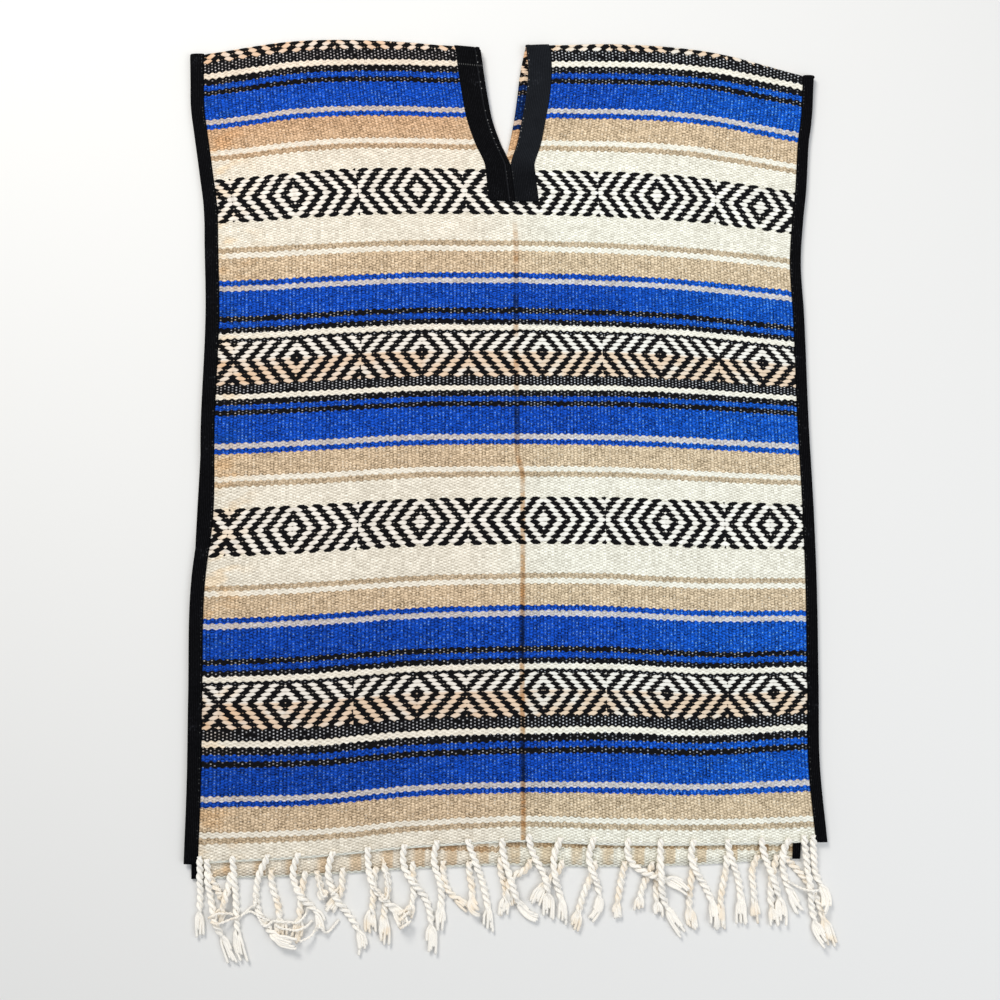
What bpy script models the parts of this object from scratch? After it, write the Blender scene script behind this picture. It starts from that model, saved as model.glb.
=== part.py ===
"""A Mexican serape poncho, laid flat with its front up.

One length of coarse striped cloth is folded over the shoulders.  A slit along the middle
is the neck, both long sides are bound in black tape, and both hems end in twisted cords.
Units are metres, +X is to the right, +Y towards the shoulders, +Z up from the surface
that the garment lies on, and the origin is under the middle of its outline.
"""

import math

import bmesh
import bpy
import numpy as np

# ---------------------------------------------------------------- driving dimensions
CLOTH_WALL = 0.0024       # the coarse weave
PINCHED_WALL = 0.0012     # the same weave, pressed inside the side binding
TAPE_WALL = 0.0010
SEAM_GAP = 0.0003         # between pieces that are sewn together
PANEL_GAP = 0.0004        # between the back panel and the front that lies on it
BINDING_STACK = TAPE_WALL + SEAM_GAP                      # one leaf of tape and its gap

TOP_LINE = 0.5376         # Y of the highest point of the shoulders
FOLD_RADIUS = 0.0030      # middle of the cloth, where it turns over the shoulders
FOLD_REACH = 0.060        # the front stays lifted this far from the fold
FOLD_STEPS = 8

LEFT_BINDING = 0.016      # width of tape that shows beside the cloth
RIGHT_BINDING = 0.013
LEAF_STEP = 0.003         # the inner leaf of the tape stops short of the outer one
LEFT_NECK_TAPE = 0.030
RIGHT_NECK_TAPE = 0.028
NECK_TAIL = 0.047         # the tapes run on past the end of the slit
NECK_RAMP = 0.024         # the cloth settles over this length past the tapes
FRONT_RAMP_START = 0.016  # from the end of the tapes
BACK_RAMP_START = 0.002
CREASE_RIDGE = 0.0016     # storage crease down the middle of the front
CREASE_RUN = 0.080        # the crease rises over this length
CREASE_FLANK = 0.35       # height beside the crease, as a share of it

FRONT_SLIT = 0.156        # end of the slit, from the top line
BACK_SLIT = 0.146
NECK_PART = 0.106         # line beside the slit where the cloth's solids are parted
FRONT_HEM = 0.956
BACK_HEM = 0.967
HEM_STRIP = 0.006         # last picks, which hold the cords

CORD_RADIUS = 0.0030
ROOT_RADIUS = 0.0019
TIP_SWELL = 1.20          # the frayed end is wider than the cord
FRAY_START = 0.6          # shares of the length: where a cord begins to fray
FRAY_RUN = 0.3
ROOT_RUN = 0.008          # a cord thickens over this length
FLOOR_CLEARANCE = 0.0004
CORD_CLEARANCE = 0.0005   # between cords that cross
CLIMB = 0.50              # steepest rise of a cord over what it crosses
WELD = 1e-5               # points nearer than this are one point
RING_STEP = 0.010         # spacing of the rings of a cord's solid
RING_PARTS = 5            # points between rings, where a cord is tried against others

# ------------------------------------------------------------------ lie of the cloth
# X of the cloth's edges at distances from the top line: the two outer edges, where the
# binding begins, and the two edges of the slit, which meet below it.
EDGE_COLUMNS = ("down", "left", "slit_left", "slit_right", "right")
FRONT_EDGES = (
    (0.000, -0.358, -0.027, 0.028, 0.361),
    (0.030, -0.357, -0.023, 0.031, 0.359),
    (0.064, -0.356, -0.018, 0.029, 0.357),
    (0.101, -0.351, -0.011, 0.023, 0.352),
    (0.128, -0.347, -0.002, 0.018, 0.350),
    (0.156, -0.343, 0.010, 0.010, 0.348),
    (0.200, -0.337, 0.015, 0.015, 0.343),
    (0.248, -0.335, 0.019, 0.019, 0.339),
    (0.321, -0.332, 0.019, 0.019, 0.341),
    (0.464, -0.334, 0.020, 0.020, 0.343),
    (0.569, -0.333, 0.020, 0.020, 0.346),
    (0.638, -0.340, 0.020, 0.020, 0.347),
    (0.774, -0.340, 0.019, 0.019, 0.346),
    (0.874, -0.339, 0.020, 0.020, 0.345),
    (0.956, -0.340, 0.020, 0.020, 0.351),
)
BACK_EDGES = (
    (0.000, -0.358, -0.027, 0.028, 0.361),
    (0.030, -0.357, -0.025, 0.022, 0.359),
    (0.064, -0.356, -0.021, 0.018, 0.357),
    (0.101, -0.351, -0.013, 0.013, 0.351),
    (0.128, -0.347, -0.004, 0.008, 0.348),
    (0.146, -0.344, 0.004, 0.004, 0.345),
    (0.248, -0.335, 0.003, 0.003, 0.337),
    (0.464, -0.334, 0.002, 0.002, 0.338),
    (0.638, -0.338, 0.001, 0.001, 0.337),
    (0.774, -0.337, 0.000, 0.000, 0.334),
    (0.967, -0.332, -0.001, -0.001, 0.321),
)
# How far each line across the cloth lies from straight, from the left edge to the right.
BOW_COLUMNS = ("down", "left", "left_outer", "left_inner", "middle",
               "right_inner", "right_outer", "right")
FRONT_BOW = (
    (0.050, -0.021, -0.005, -0.002, -0.005, -0.005, -0.012, -0.033),
    (0.303, -0.007, -0.002, 0.003, 0.004, 0.000, -0.007, -0.019),
    (0.451, -0.008, -0.002, 0.004, 0.005, 0.004, 0.000, -0.006),
    (0.698, -0.009, -0.004, 0.004, 0.008, 0.008, 0.003, 0.003),
    (0.853, -0.005, -0.003, 0.007, 0.011, 0.012, 0.009, 0.014),
    (0.956, -0.009, -0.003, 0.008, 0.015, 0.011, 0.011, 0.015),
)
BACK_BOW = (
    (0.030, -0.018, -0.001, -0.001, -0.010, -0.005, -0.015, -0.045),
    (0.300, -0.010, -0.003, 0.000, 0.000, -0.002, -0.006, -0.018),
    (0.967, -0.015, -0.012, -0.005, 0.000, -0.002, 0.000, 0.007),
)
# How far the shoulder fold lies below the top line, from each outer edge to the slit.
SHOULDER_DROP = {"left": (0.019, 0.002, 0.002, 0.012),
                 "right": (0.046, 0.016, 0.006, 0.009)}
STATIONS = (0.0, 1.0 / 3.0, 2.0 / 3.0, 1.0)
HALF_WIDTH = 0.34         # turns a shift into a share of the half

# Columns of the cloth's mesh in each half, from the outer edge to the slit: the share of
# the half, the shift from there on the front and on the back, and whether the column is
# bound, raised over the back's binding, or taped at the neck.
LEFT_TURN = LEFT_BINDING - BINDING_STACK - PINCHED_WALL / 2    # cloth in the binding
RIGHT_TURN = RIGHT_BINDING - BINDING_STACK - PINCHED_WALL / 2
COLUMN_NAMES = ("share", "front_shift", "back_shift", "bound", "raised", "taped")
LEFT_COLUMNS = (
    (0.0, -LEFT_TURN, -LEFT_TURN, 1, 1, 0),
    (0.0, 0.0, 0.0, 1, 1, 0),
    (0.0, 0.020, 0.020, 0, 1, 0),
    (0.0, 0.045, 0.045, 0, 0, 0),
    (0.33, 0.0, 0.0, 0, 0, 0),
    (0.52, 0.0, 0.0, 0, 0, 0),
    (0.68, 0.0, 0.0, 0, 0, 0),
    (1.0, -0.070, -0.050, 0, 0, 0),
    (1.0, -0.045, -0.032, 0, 0, 1),
    (1.0, 0.0, 0.0, 0, 0, 1),
)
RIGHT_COLUMNS = (
    (0.0, -RIGHT_TURN, -RIGHT_TURN, 1, 1, 0),
    (0.0, 0.0, 0.0, 1, 1, 0),
    (0.0, 0.045, 0.020, 0, 1, 0),
    (0.0, 0.075, 0.045, 0, 0, 0),
    (0.36, 0.0, 0.0, 0, 0, 0),
    (0.52, 0.0, 0.0, 0, 0, 0),
    (0.68, 0.0, 0.0, 0, 0, 0),
    (1.0, -0.070, -0.050, 0, 0, 0),
    (1.0, -0.045, -0.032, 0, 0, 1),
    (1.0, 0.0, 0.0, 0, 0, 1),
)
# Below the neck the two inner columns of the front close in on the storage crease.
CREASE_SHIFTS = {-0.070: -0.030, -0.045: -0.011}

FRONT_TAPE_END = FRONT_SLIT + NECK_TAIL
BACK_TAPE_END = BACK_SLIT + NECK_TAIL
FRONT_ROWS = (0.022, 0.036, 0.050, 0.072, 0.101, 0.128, 0.145, FRONT_SLIT, 0.176,
              FRONT_TAPE_END, 0.219, 0.240, 0.275, 0.320, 0.380, 0.440, 0.500, 0.569, 0.638,
              0.700, 0.774, 0.830, 0.874, 0.915, FRONT_HEM - HEM_STRIP - SEAM_GAP)
BACK_ROWS = (0.022, 0.050, 0.080, 0.112, 0.133, BACK_SLIT, 0.168, BACK_TAPE_END, 0.219,
             0.300, 0.464, 0.638, 0.774, 0.870, BACK_HEM - HEM_STRIP - SEAM_GAP)

# ------------------------------------------------------------------------ the fringe
# Each cord: X of its root on the hem, its length, and how far it leans from straight
# down, in degrees towards +X, at its root, at each third of its length and at its tip.
CORD_COLUMNS = ("root", "length", "lean_root", "lean_third", "lean_two_thirds", "lean_tip")
BACK_CORDS = (
    (-0.326, 0.030, 20, 30, 35, 45),
    (-0.304, 0.052, -5, -10, -20, -15),
    (-0.258, 0.071, 0, 20, 5, 5),
    (-0.220, 0.078, -15, -5, -5, -15),
    (-0.207, 0.030, 20, 15, 15, 45),
    (-0.178, 0.051, -5, -5, -40, -20),
    (-0.141, 0.072, -15, 0, -10, 15),
    (-0.132, 0.084, 30, -10, 0, 0),
    (-0.100, 0.060, 0, 5, -15, -20),
    (-0.066, 0.064, -5, 20, 55, 45),
    (-0.037, 0.056, -5, 15, -5, 90),
    (-0.002, 0.059, -5, 20, -10, -5),
    (0.031, 0.061, -20, -70, 15, 0),
    (0.067, 0.055, -20, -50, -35, -15),
    (0.104, 0.075, -15, -25, -15, -20),
    (0.137, 0.061, -15, -10, -10, 15),
    (0.168, 0.054, -20, -25, -15, -10),
    (0.176, 0.059, -5, -10, 5, 5),
    (0.215, 0.076, -10, -10, 5, 10),
    (0.251, 0.075, 0, -15, 0, 0),
    (0.285, 0.072, -35, 5, 0, 5),
    (0.307, 0.077, -15, -10, 5, 10),
    (0.315, 0.116, 50, 35, 15, 20),
)
FRONT_CORDS = (
    (-0.337, 0.087, 0, 0, 0, 5),
    (-0.329, 0.118, 0, 10, 25, 25),
    (-0.301, 0.114, 5, 5, 5, 25),
    (-0.262, 0.126, -35, 0, 45, 95),
    (-0.228, 0.095, -35, 20, 45, -10),
    (-0.189, 0.125, -30, 25, 35, -15),
    (-0.150, 0.100, -5, 20, 50, 5),
    (-0.109, 0.126, -20, 40, 10, -5),
    (-0.073, 0.098, -25, 20, -5, 5),
    (-0.038, 0.102, 20, 20, 10, 0),
    (0.000, 0.099, 0, 20, 20, 85),
    (0.030, 0.092, 10, 30, 5, -5),
    (0.065, 0.094, -35, 5, 15, -10),
    (0.102, 0.091, -35, 20, 5, -50),
    (0.141, 0.094, -20, 55, 75, 50),
    (0.177, 0.106, 0, 0, 25, 40),
    (0.214, 0.100, -25, 30, 20, -10),
    (0.252, 0.092, 10, 20, 0, 5),
    (0.290, 0.098, 10, 20, 15, -15),
    (0.320, 0.084, -35, 5, 20, 35),
    (0.337, 0.119, 10, 5, 10, 40),
    (0.347, 0.085, 5, 5, 30, -50),
)

# ------------------------------------------------------------------------- materials
# Colour, roughness and metallic value of each kind of piece.
FINISHES = {
    "striped_weave": ((0.36, 0.32, 0.36, 1.0), 0.92, 0.0),
    "black_tape": ((0.012, 0.012, 0.014, 1.0), 0.80, 0.0),
    "cream_cord": ((0.78, 0.74, 0.66, 1.0), 0.90, 0.0),
}


# --------------------------------------------------------------------- working maths
def smooth_through(knots, values, at):
    """Smooth curve through values at knots, level past both ends."""
    knots = np.asarray(knots, float)
    values = np.asarray(values, float)
    at = np.clip(np.asarray(at, float), knots[0], knots[-1])
    slopes = np.gradient(values, knots, axis=0)
    index = np.clip(np.searchsorted(knots, at, side="right") - 1, 0, len(knots) - 2)
    span = knots[index + 1] - knots[index]
    t = (at - knots[index]) / span
    shape = t.shape + (1,) * (values.ndim - 1)
    t, span = t.reshape(shape), span.reshape(shape)
    return ((2 * t**3 - 3 * t**2 + 1) * values[index]
            + (t**3 - 2 * t**2 + t) * span * slopes[index]
            + (3 * t**2 - 2 * t**3) * values[index + 1]
            + (t**3 - t**2) * span * slopes[index + 1])


def ease(t):
    """0 to 1 with level ends."""
    t = np.clip(t, 0.0, 1.0)
    return t * t * (3.0 - 2.0 * t)


def table_column(table, columns, name):
    return np.array([row[columns.index(name)] for row in table])


def edge_at(edges, name, down):
    """X of one edge of a panel at a distance from the top line."""
    knots = table_column(edges, EDGE_COLUMNS, "down")
    return float(smooth_through(knots, table_column(edges, EDGE_COLUMNS, name), down))


def bow_at(bow, side, down, share):
    """Distance of a line across the cloth from straight, at shares of one half."""
    names = (("left", "left_outer", "left_inner", "middle") if side == "left"
             else ("right", "right_outer", "right_inner", "middle"))
    knots = table_column(bow, BOW_COLUMNS, "down")
    stations = [float(smooth_through(knots, table_column(bow, BOW_COLUMNS, name), down))
                for name in names]
    return smooth_through(STATIONS, stations, share)


# ----------------------------------------------------------------- the folded surface
BACK_BOUND = BINDING_STACK + PINCHED_WALL / 2             # middle of the bound back edge
BACK_OPEN = CLOTH_WALL / 2
BACK_TAPED = BINDING_STACK + CLOTH_WALL / 2
BOUND_TOP = 2 * BINDING_STACK + PINCHED_WALL              # top of the back's binding
FRONT_BOUND = BOUND_TOP + SEAM_GAP + BINDING_STACK + PINCHED_WALL / 2
FRONT_RAISED = BOUND_TOP + SEAM_GAP + CLOTH_WALL / 2
FRONT_OPEN = CLOTH_WALL + PANEL_GAP + CLOTH_WALL / 2
FRONT_TAPED = BACK_TAPED + CLOTH_WALL + PANEL_GAP


def slit_edge(edges, side, down):
    """X of one side of the slit, or of the line where both sides meet below it."""
    left, right = edge_at(edges, "slit_left", down), edge_at(edges, "slit_right", down)
    if down >= (FRONT_SLIT if edges is FRONT_EDGES else BACK_SLIT):
        return (left + right) / 2
    return left if side == "left" else right


def across(edges, side, down, share, shift):
    """X at shares of a half, then shifted towards the slit."""
    outer = edge_at(edges, side, down)
    inner = slit_edge(edges, side, down)
    inward = 1.0 if side == "left" else -1.0
    return outer + (inner - outer) * share + inward * shift


def nominal_share(share, shift):
    """Share of the half that a shift comes to, for reading the bow tables."""
    return np.clip(share + np.asarray(shift) / HALF_WIDTH, 0.0, 1.0)


def shoulder_y(side, share):
    """Y of the fold's outer edge."""
    return TOP_LINE - smooth_through(STATIONS, SHOULDER_DROP[side], share)


def back_height(row_down, bound, taped):
    """Middle of the back panel's wall above the surface."""
    fade = 1.0 - ease((row_down - BACK_TAPE_END - BACK_RAMP_START) / NECK_RAMP)
    height = np.full(len(bound), BACK_OPEN)
    height = np.where(bound, BACK_BOUND, height)
    return height + np.where(taped, (BACK_TAPED - BACK_OPEN) * fade, 0.0)


def front_height(row_down, bound, raised, taped, at_slit):
    """Middle of the front panel's wall, away from the fold."""
    fade = 1.0 - ease((row_down - FRONT_TAPE_END - FRONT_RAMP_START) / NECK_RAMP)
    height = np.full(len(bound), FRONT_OPEN)
    height = np.where(raised, FRONT_RAISED, height)
    height = np.where(bound, FRONT_BOUND, height)
    height = height + np.where(taped, (FRONT_TAPED - FRONT_OPEN) * fade, 0.0)
    ridge = ease((row_down - FRONT_TAPE_END) / CREASE_RUN)
    rise = np.where(at_slit, 1.0, np.where(taped, CREASE_FLANK, 0.0))
    return height + CREASE_RIDGE * ridge * rise


def front_shifts(row_down, columns):
    """Shifts of the columns: those of the back at the fold, those of the crease below."""
    shift = table_column(columns, COLUMN_NAMES, "front_shift")
    at_fold = table_column(columns, COLUMN_NAMES, "back_shift")
    at_crease = np.array([CREASE_SHIFTS.get(value, value) for value in shift])
    shift = at_fold + (shift - at_fold) * ease(row_down / FOLD_REACH)
    low = ease((row_down - FRONT_TAPE_END - NECK_RAMP) / CREASE_RUN)
    return shift + (at_crease - shift) * low


def half_row(side, panel, station, columns):
    """Points across one half on one line: X, Y, Z of the middle of the wall.

    panel is "front", "fold" or "back"; station is the distance from the top line, or on
    the fold the turn from the front (0) to the back (pi).
    """
    share = table_column(columns, COLUMN_NAMES, "share")
    bound = table_column(columns, COLUMN_NAMES, "bound") > 0
    raised = table_column(columns, COLUMN_NAMES, "raised") > 0
    taped = table_column(columns, COLUMN_NAMES, "taped") > 0
    at_fold = table_column(columns, COLUMN_NAMES, "back_shift")
    fold_share = nominal_share(share, at_fold)
    fold_y = shoulder_y(side, fold_share) - CLOTH_WALL / 2 - FOLD_RADIUS
    fold_z = back_height(0.0, bound, taped)
    if panel == "fold":
        x = across(FRONT_EDGES, side, 0.0, share, at_fold)
        y = fold_y + FOLD_RADIUS * math.sin(station)
        z = fold_z + FOLD_RADIUS * (1.0 + math.cos(station))
        return np.stack([x, y, z], axis=1)
    if panel == "back":
        x = across(BACK_EDGES, side, station, share, at_fold)
        y = TOP_LINE - station + bow_at(BACK_BOW, side, station, fold_share)
        z = back_height(station, bound, taped)
        return np.stack([x, y, z], axis=1)
    shift = front_shifts(station, columns)
    here = nominal_share(share, shift)
    x = across(FRONT_EDGES, side, station, share, shift)
    y = TOP_LINE - station + bow_at(FRONT_BOW, side, station, here)
    flat = front_height(station, bound, raised, taped, share + shift > 1.0 - SEAM_GAP)
    lifted = fold_z + 2 * FOLD_RADIUS
    z = flat + (lifted - flat) * (1.0 - ease((fold_y - y) / FOLD_REACH))
    return np.stack([x, y, z], axis=1)


def row_list(front_rows, back_rows):
    """Lines across the cloth from the front's end, over the fold, to the back's end."""
    rows = [("front", station) for station in reversed(front_rows)]
    rows += [("fold", math.pi * step / FOLD_STEPS) for step in range(FOLD_STEPS + 1)]
    rows += [("back", station) for station in back_rows]
    return rows


def outward(panel, station):
    """Direction of the cloth's outer face on a line."""
    if panel == "fold":
        return np.array([0.0, math.sin(station), math.cos(station)])
    return np.array([0.0, 0.0, 1.0 if panel == "front" else -1.0])


# -------------------------------------------------------------------- making objects
def make_finish(name):
    colour, roughness, metallic = FINISHES[name]
    material = bpy.data.materials.new(name)
    material.use_nodes = True
    shader = material.node_tree.nodes["Principled BSDF"]
    shader.inputs["Base Color"].default_value = colour
    shader.inputs["Roughness"].default_value = roughness
    shader.inputs["Metallic"].default_value = metallic
    material.diffuse_color = colour
    return material


def add_object(name, mesh, finish, collection):
    """Object of one node, with a finish of its own."""
    made = bpy.data.objects.new(name, mesh)
    collection.objects.link(made)
    material = make_finish(finish)
    material.name = name + "_" + finish
    made.data.materials.append(material)
    return made


def grid_faces(row_count, column_count, start):
    """Quads of a grid whose points are stored row by row."""
    return [(start + r * column_count + c, start + r * column_count + c + 1,
             start + (r + 1) * column_count + c + 1, start + (r + 1) * column_count + c)
            for r in range(row_count - 1) for c in range(column_count - 1)]


def sheet_mesh(name, grids):
    """Open surface of one or more grids, welded where their edges meet."""
    points, faces = [], []
    for grid in grids:
        faces += grid_faces(grid.shape[0], grid.shape[1], len(points))
        points += [tuple(point) for point in grid.reshape(-1, 3)]
    mesh = bpy.data.meshes.new(name)
    mesh.from_pydata(points, [], faces)
    work = bmesh.new()
    work.from_mesh(mesh)
    bmesh.ops.remove_doubles(work, verts=work.verts, dist=WELD)
    work.to_mesh(mesh)
    work.free()
    return mesh


def give_wall(made, thickness, pinched=None):
    """Wall centred on the surface; pinched points keep a smaller share of it."""
    wall = made.modifiers.new("Wall", "SOLIDIFY")
    wall.thickness = thickness
    wall.offset = 0.0
    wall.use_even_offset = True
    if pinched is not None:
        group = made.vertex_groups.new(name="full_wall")
        group.add([i for i, value in enumerate(pinched) if not value], 1.0, "REPLACE")
        wall.vertex_group = group.name
        wall.thickness_vertex_group = PINCHED_WALL / thickness


def halves(rows, left_columns, right_columns):
    """The two halves of a stretch of cloth as grids with X increasing."""
    left = np.array([half_row("left", panel, at, left_columns) for panel, at in rows])
    right = np.array([half_row("right", panel, at, right_columns) for panel, at in rows])
    return left, right[:, ::-1]


# ------------------------------------------------------------------------ the pieces
def cloth_stretches():
    """The stretches of the cloth: name, sides that it has, and its lines across.

    The cloth is one piece.  It is parted at the ends of the slit and beside its middle, so
    that each solid is simple and the neck stays open.
    """
    apart = SEAM_GAP / 2
    front = [("front", row) for row in reversed(FRONT_ROWS) if row > FRONT_SLIT]
    back = [("back", row) for row in BACK_ROWS if row > BACK_SLIT]
    chest = [("front", row) for row in reversed(FRONT_ROWS) if NECK_PART < row < FRONT_SLIT]
    nape = [("back", row) for row in BACK_ROWS if NECK_PART < row < BACK_SLIT]
    shoulder = row_list([row for row in FRONT_ROWS if row < NECK_PART] + [NECK_PART - apart],
                        [row for row in BACK_ROWS if row < NECK_PART] + [NECK_PART - apart])
    chest = [("front", FRONT_SLIT - apart)] + chest + [("front", NECK_PART + apart)]
    nape = [("back", NECK_PART + apart)] + nape + [("back", BACK_SLIT - apart)]
    stretches = [("serape_front", ("left", "right"), front + [("front", FRONT_SLIT + apart)]),
                 ("serape_back", ("left", "right"), [("back", BACK_SLIT + apart)] + back)]
    for side in ("left", "right"):
        stretches += [("serape_chest_" + side, (side,), chest),
                      ("serape_shoulder_" + side, (side,), shoulder),
                      ("serape_nape_" + side, (side,), nape)]
    return stretches


def make_cloth(name, sides, rows, collection):
    """One stretch of the cloth, with its bound edges pressed thin."""
    columns = {"left": LEFT_COLUMNS, "right": RIGHT_COLUMNS}
    if len(sides) == 1:
        inner = (1.0, -SEAM_GAP / 2, -SEAM_GAP / 2, 0, 0, 1)
        columns = {side: columns[side][:-1] + (inner,) for side in sides}
    grids = [np.array([half_row(side, panel, at, columns[side]) for panel, at in rows])
             for side in sides]
    bound = np.concatenate([grid[:, :2].reshape(-1, 3) for grid in grids])
    grids = [grid if side == "left" else grid[:, ::-1] for side, grid in zip(sides, grids)]
    mesh = sheet_mesh(name, grids)
    cloth = add_object(name, mesh, "striped_weave", collection)
    pinched = [np.abs(bound - np.array(vertex.co)).max(axis=1).min() < WELD
               for vertex in mesh.vertices]
    give_wall(cloth, CLOTH_WALL, pinched)
    return cloth


def section_along(side, rows, profile, share):
    """Surface of a section carried along one edge of the cloth.

    profile lists (shift towards the slit, distance out of the cloth's middle); share is
    0 for the outer edge and 1 for the slit.
    """
    bound, taped = (1, 0) if share == 0.0 else (0, 1)
    columns = [(share, shift, shift, bound, bound, taped) for shift, _ in profile]
    lines = []
    for panel, station in rows:
        points = half_row(side, panel, station, columns)
        if side == "right":
            points = points[::-1]
        lines.append((points, outward(panel, station)))
    out = np.array([distance for _, distance in profile])
    out = out[::-1] if side == "right" else out
    return np.array([points + out[:, None] * normal for points, normal in lines])


def binding_profile(width):
    """U of tape round the cloth's edge, from its outer leaf to its inner one."""
    radius = PINCHED_WALL / 2 + SEAM_GAP + TAPE_WALL / 2
    centre = width - TAPE_WALL / 2 - radius
    bend = [(-centre - radius * math.cos(turn), radius * math.sin(turn))
            for turn in np.radians([60, 20, -20, -60])]
    return ([(0.0, radius), (-centre, radius)] + bend
            + [(-centre, -radius), (-LEAF_STEP, -radius)])


def make_binding(side, width, collection):
    """Tape folded round one long side, from the front hem to the back hem."""
    rows = row_list(FRONT_ROWS, BACK_ROWS)
    grid = section_along(side, rows, binding_profile(width), 0.0)
    name = "side_binding_" + side
    binding = add_object(name, sheet_mesh(name, [grid]), "black_tape", collection)
    give_wall(binding, TAPE_WALL)
    return binding


def make_neck_tape(side, width, collection):
    """Tape on the outer face along one side of the slit, front and back."""
    front = [row for row in FRONT_ROWS if row <= FRONT_TAPE_END]
    back = [row for row in BACK_ROWS if row <= BACK_TAPE_END]
    out = CLOTH_WALL / 2 + SEAM_GAP + TAPE_WALL / 2
    profile = [(-width, out), (-width / 2, out), (-SEAM_GAP / 2, out)]
    grid = section_along(side, row_list(front, back), profile, 1.0)
    name = "neck_tape_" + side
    tape = add_object(name, sheet_mesh(name, [grid]), "black_tape", collection)
    give_wall(tape, TAPE_WALL)
    return tape


def hem_strip(panel, hem):
    """Grid of the last picks of a panel, between the two bindings."""
    inset = SEAM_GAP * 2
    left = ((0.0, inset, inset, 0, 1, 0),) + LEFT_COLUMNS[2:]
    right = ((0.0, inset, inset, 0, 1, 0),) + RIGHT_COLUMNS[2:]
    rows = [(panel, hem - HEM_STRIP), (panel, hem)]
    if panel == "front":
        rows = rows[::-1]
    return halves(rows, left, right)


def hem_line(panel, hem):
    """Points along the middle of a hem strip, with X increasing."""
    left, right = hem_strip(panel, hem)
    return np.concatenate([left.mean(axis=0), right.mean(axis=0)[1:]])


def cord_plan(cord, hem_points):
    """Plan of a cord: X, Y and distance along it, RING_PARTS points to each ring.

    The lean is summed along the cord, and the points between rings lie on straight
    runs, as the solid's do.
    """
    root, length = cord[0], cord[1]
    rings = max(4, int(round(length / RING_STEP)) + 1)
    count = (rings - 1) * RING_PARTS
    step = length / count
    lean = np.radians(smooth_through(STATIONS, cord[2:], (np.arange(count) + 0.5) / count))
    root_y = np.interp(root, hem_points[:, 0], hem_points[:, 1])
    x = root + np.concatenate([[0.0], np.cumsum(np.sin(lean))]) * step
    y = root_y - np.concatenate([[0.0], np.cumsum(np.cos(lean))]) * step
    along = np.arange(count + 1) * step
    at_rings = along[::RING_PARTS]
    x = np.interp(along, at_rings, x[::RING_PARTS])
    y = np.interp(along, at_rings, y[::RING_PARTS])
    return x, y, along


def cord_radius(along, length):
    """Thin at the root, full along the cord, and swollen where it frays."""
    root = ROOT_RADIUS + (CORD_RADIUS - ROOT_RADIUS) * ease(along / ROOT_RUN)
    fray = 1.0 + (TIP_SWELL - 1.0) * ease((along / length - FRAY_START) / FRAY_RUN)
    return root * fray


def ground_height(x, y, back_line, reach):
    """Top of what lies under a cord: the back panel, its binding, or the surface."""
    hem_y = np.interp(x, back_line[:, 0], back_line[:, 1]) - HEM_STRIP / 2
    left, right = back_line[0, 0], back_line[-1, 0]
    on_back = (y > hem_y - reach)
    inside = (x > left) & (x < right)
    near = (x > left - LEFT_BINDING - reach) & (x < right + RIGHT_BINDING + reach)
    return np.where(on_back & inside, CLOTH_WALL, np.where(on_back & near, BOUND_TOP, 0.0))


def over_rings(need, along):
    """Heights at the rings that keep every straight run over the need, and between."""
    rings = range(0, len(need), RING_PARTS)
    top = [need[max(0, ring - RING_PARTS):ring + RING_PARTS + 1].max() for ring in rings]
    return np.interp(along, along[::RING_PARTS], top)


def settle_cords(cords, hem_points, back_line, on_panel, laid):
    """Lay cords one by one, each over what is there, and give their centre lines.

    A cord's height is the least that clears the surface and every cord laid before it,
    and it climbs no steeper than CLIMB.
    """
    routes = []
    for cord in cords:
        x, y, along = cord_plan(cord, hem_points)
        radius = cord_radius(along, cord[1])
        ground = np.zeros_like(x)
        if on_panel:
            ground = ground_height(x, y, back_line, CORD_RADIUS)
        need = ground + radius + FLOOR_CLEARANCE
        for other_x, other_y, other_z, other_radius in laid:
            apart = np.hypot(x[:, None] - other_x, y[:, None] - other_y)
            touch = radius[:, None] + other_radius + CORD_CLEARANCE
            spare = np.maximum(touch**2 - apart**2, 0.0)
            over = np.where(apart < touch, other_z + np.sqrt(spare), 0.0)
            need = np.maximum(need, over.max(axis=1))
        tents = need[None, :] - CLIMB * np.abs(along[:, None] - along[None, :])
        z = over_rings(tents.max(axis=1), along)
        laid.append((x, y, z, radius))
        routes.append(np.stack([x, y, z, radius], axis=1)[::RING_PARTS])
    return routes


def cord_object(name, route):
    """Solid of one cord: a square section along its route."""
    curve = bpy.data.curves.new(name, "CURVE")
    curve.dimensions = "3D"
    curve.bevel_depth = 1.0
    curve.bevel_resolution = 0
    curve.use_fill_caps = True
    spline = curve.splines.new("POLY")
    spline.points.add(len(route) - 1)
    for point, (x, y, z, radius) in zip(spline.points, route):
        point.co = (x, y, z, 1.0)
        point.radius = radius
    made = bpy.data.objects.new(name, curve)
    bpy.context.scene.collection.objects.link(made)
    return made


def as_mesh_object(curve_object):
    """Closed mesh of a bevelled curve, in place of it."""
    graph = bpy.context.evaluated_depsgraph_get()
    mesh = bpy.data.meshes.new_from_object(curve_object.evaluated_get(graph))
    work = bmesh.new()
    work.from_mesh(mesh)
    bmesh.ops.remove_doubles(work, verts=work.verts, dist=WELD)
    bmesh.ops.recalc_face_normals(work, faces=work.faces)
    work.to_mesh(mesh)
    work.free()
    solid = bpy.data.objects.new(curve_object.name + "_solid", mesh)
    bpy.data.objects.remove(curve_object)
    return solid


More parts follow.
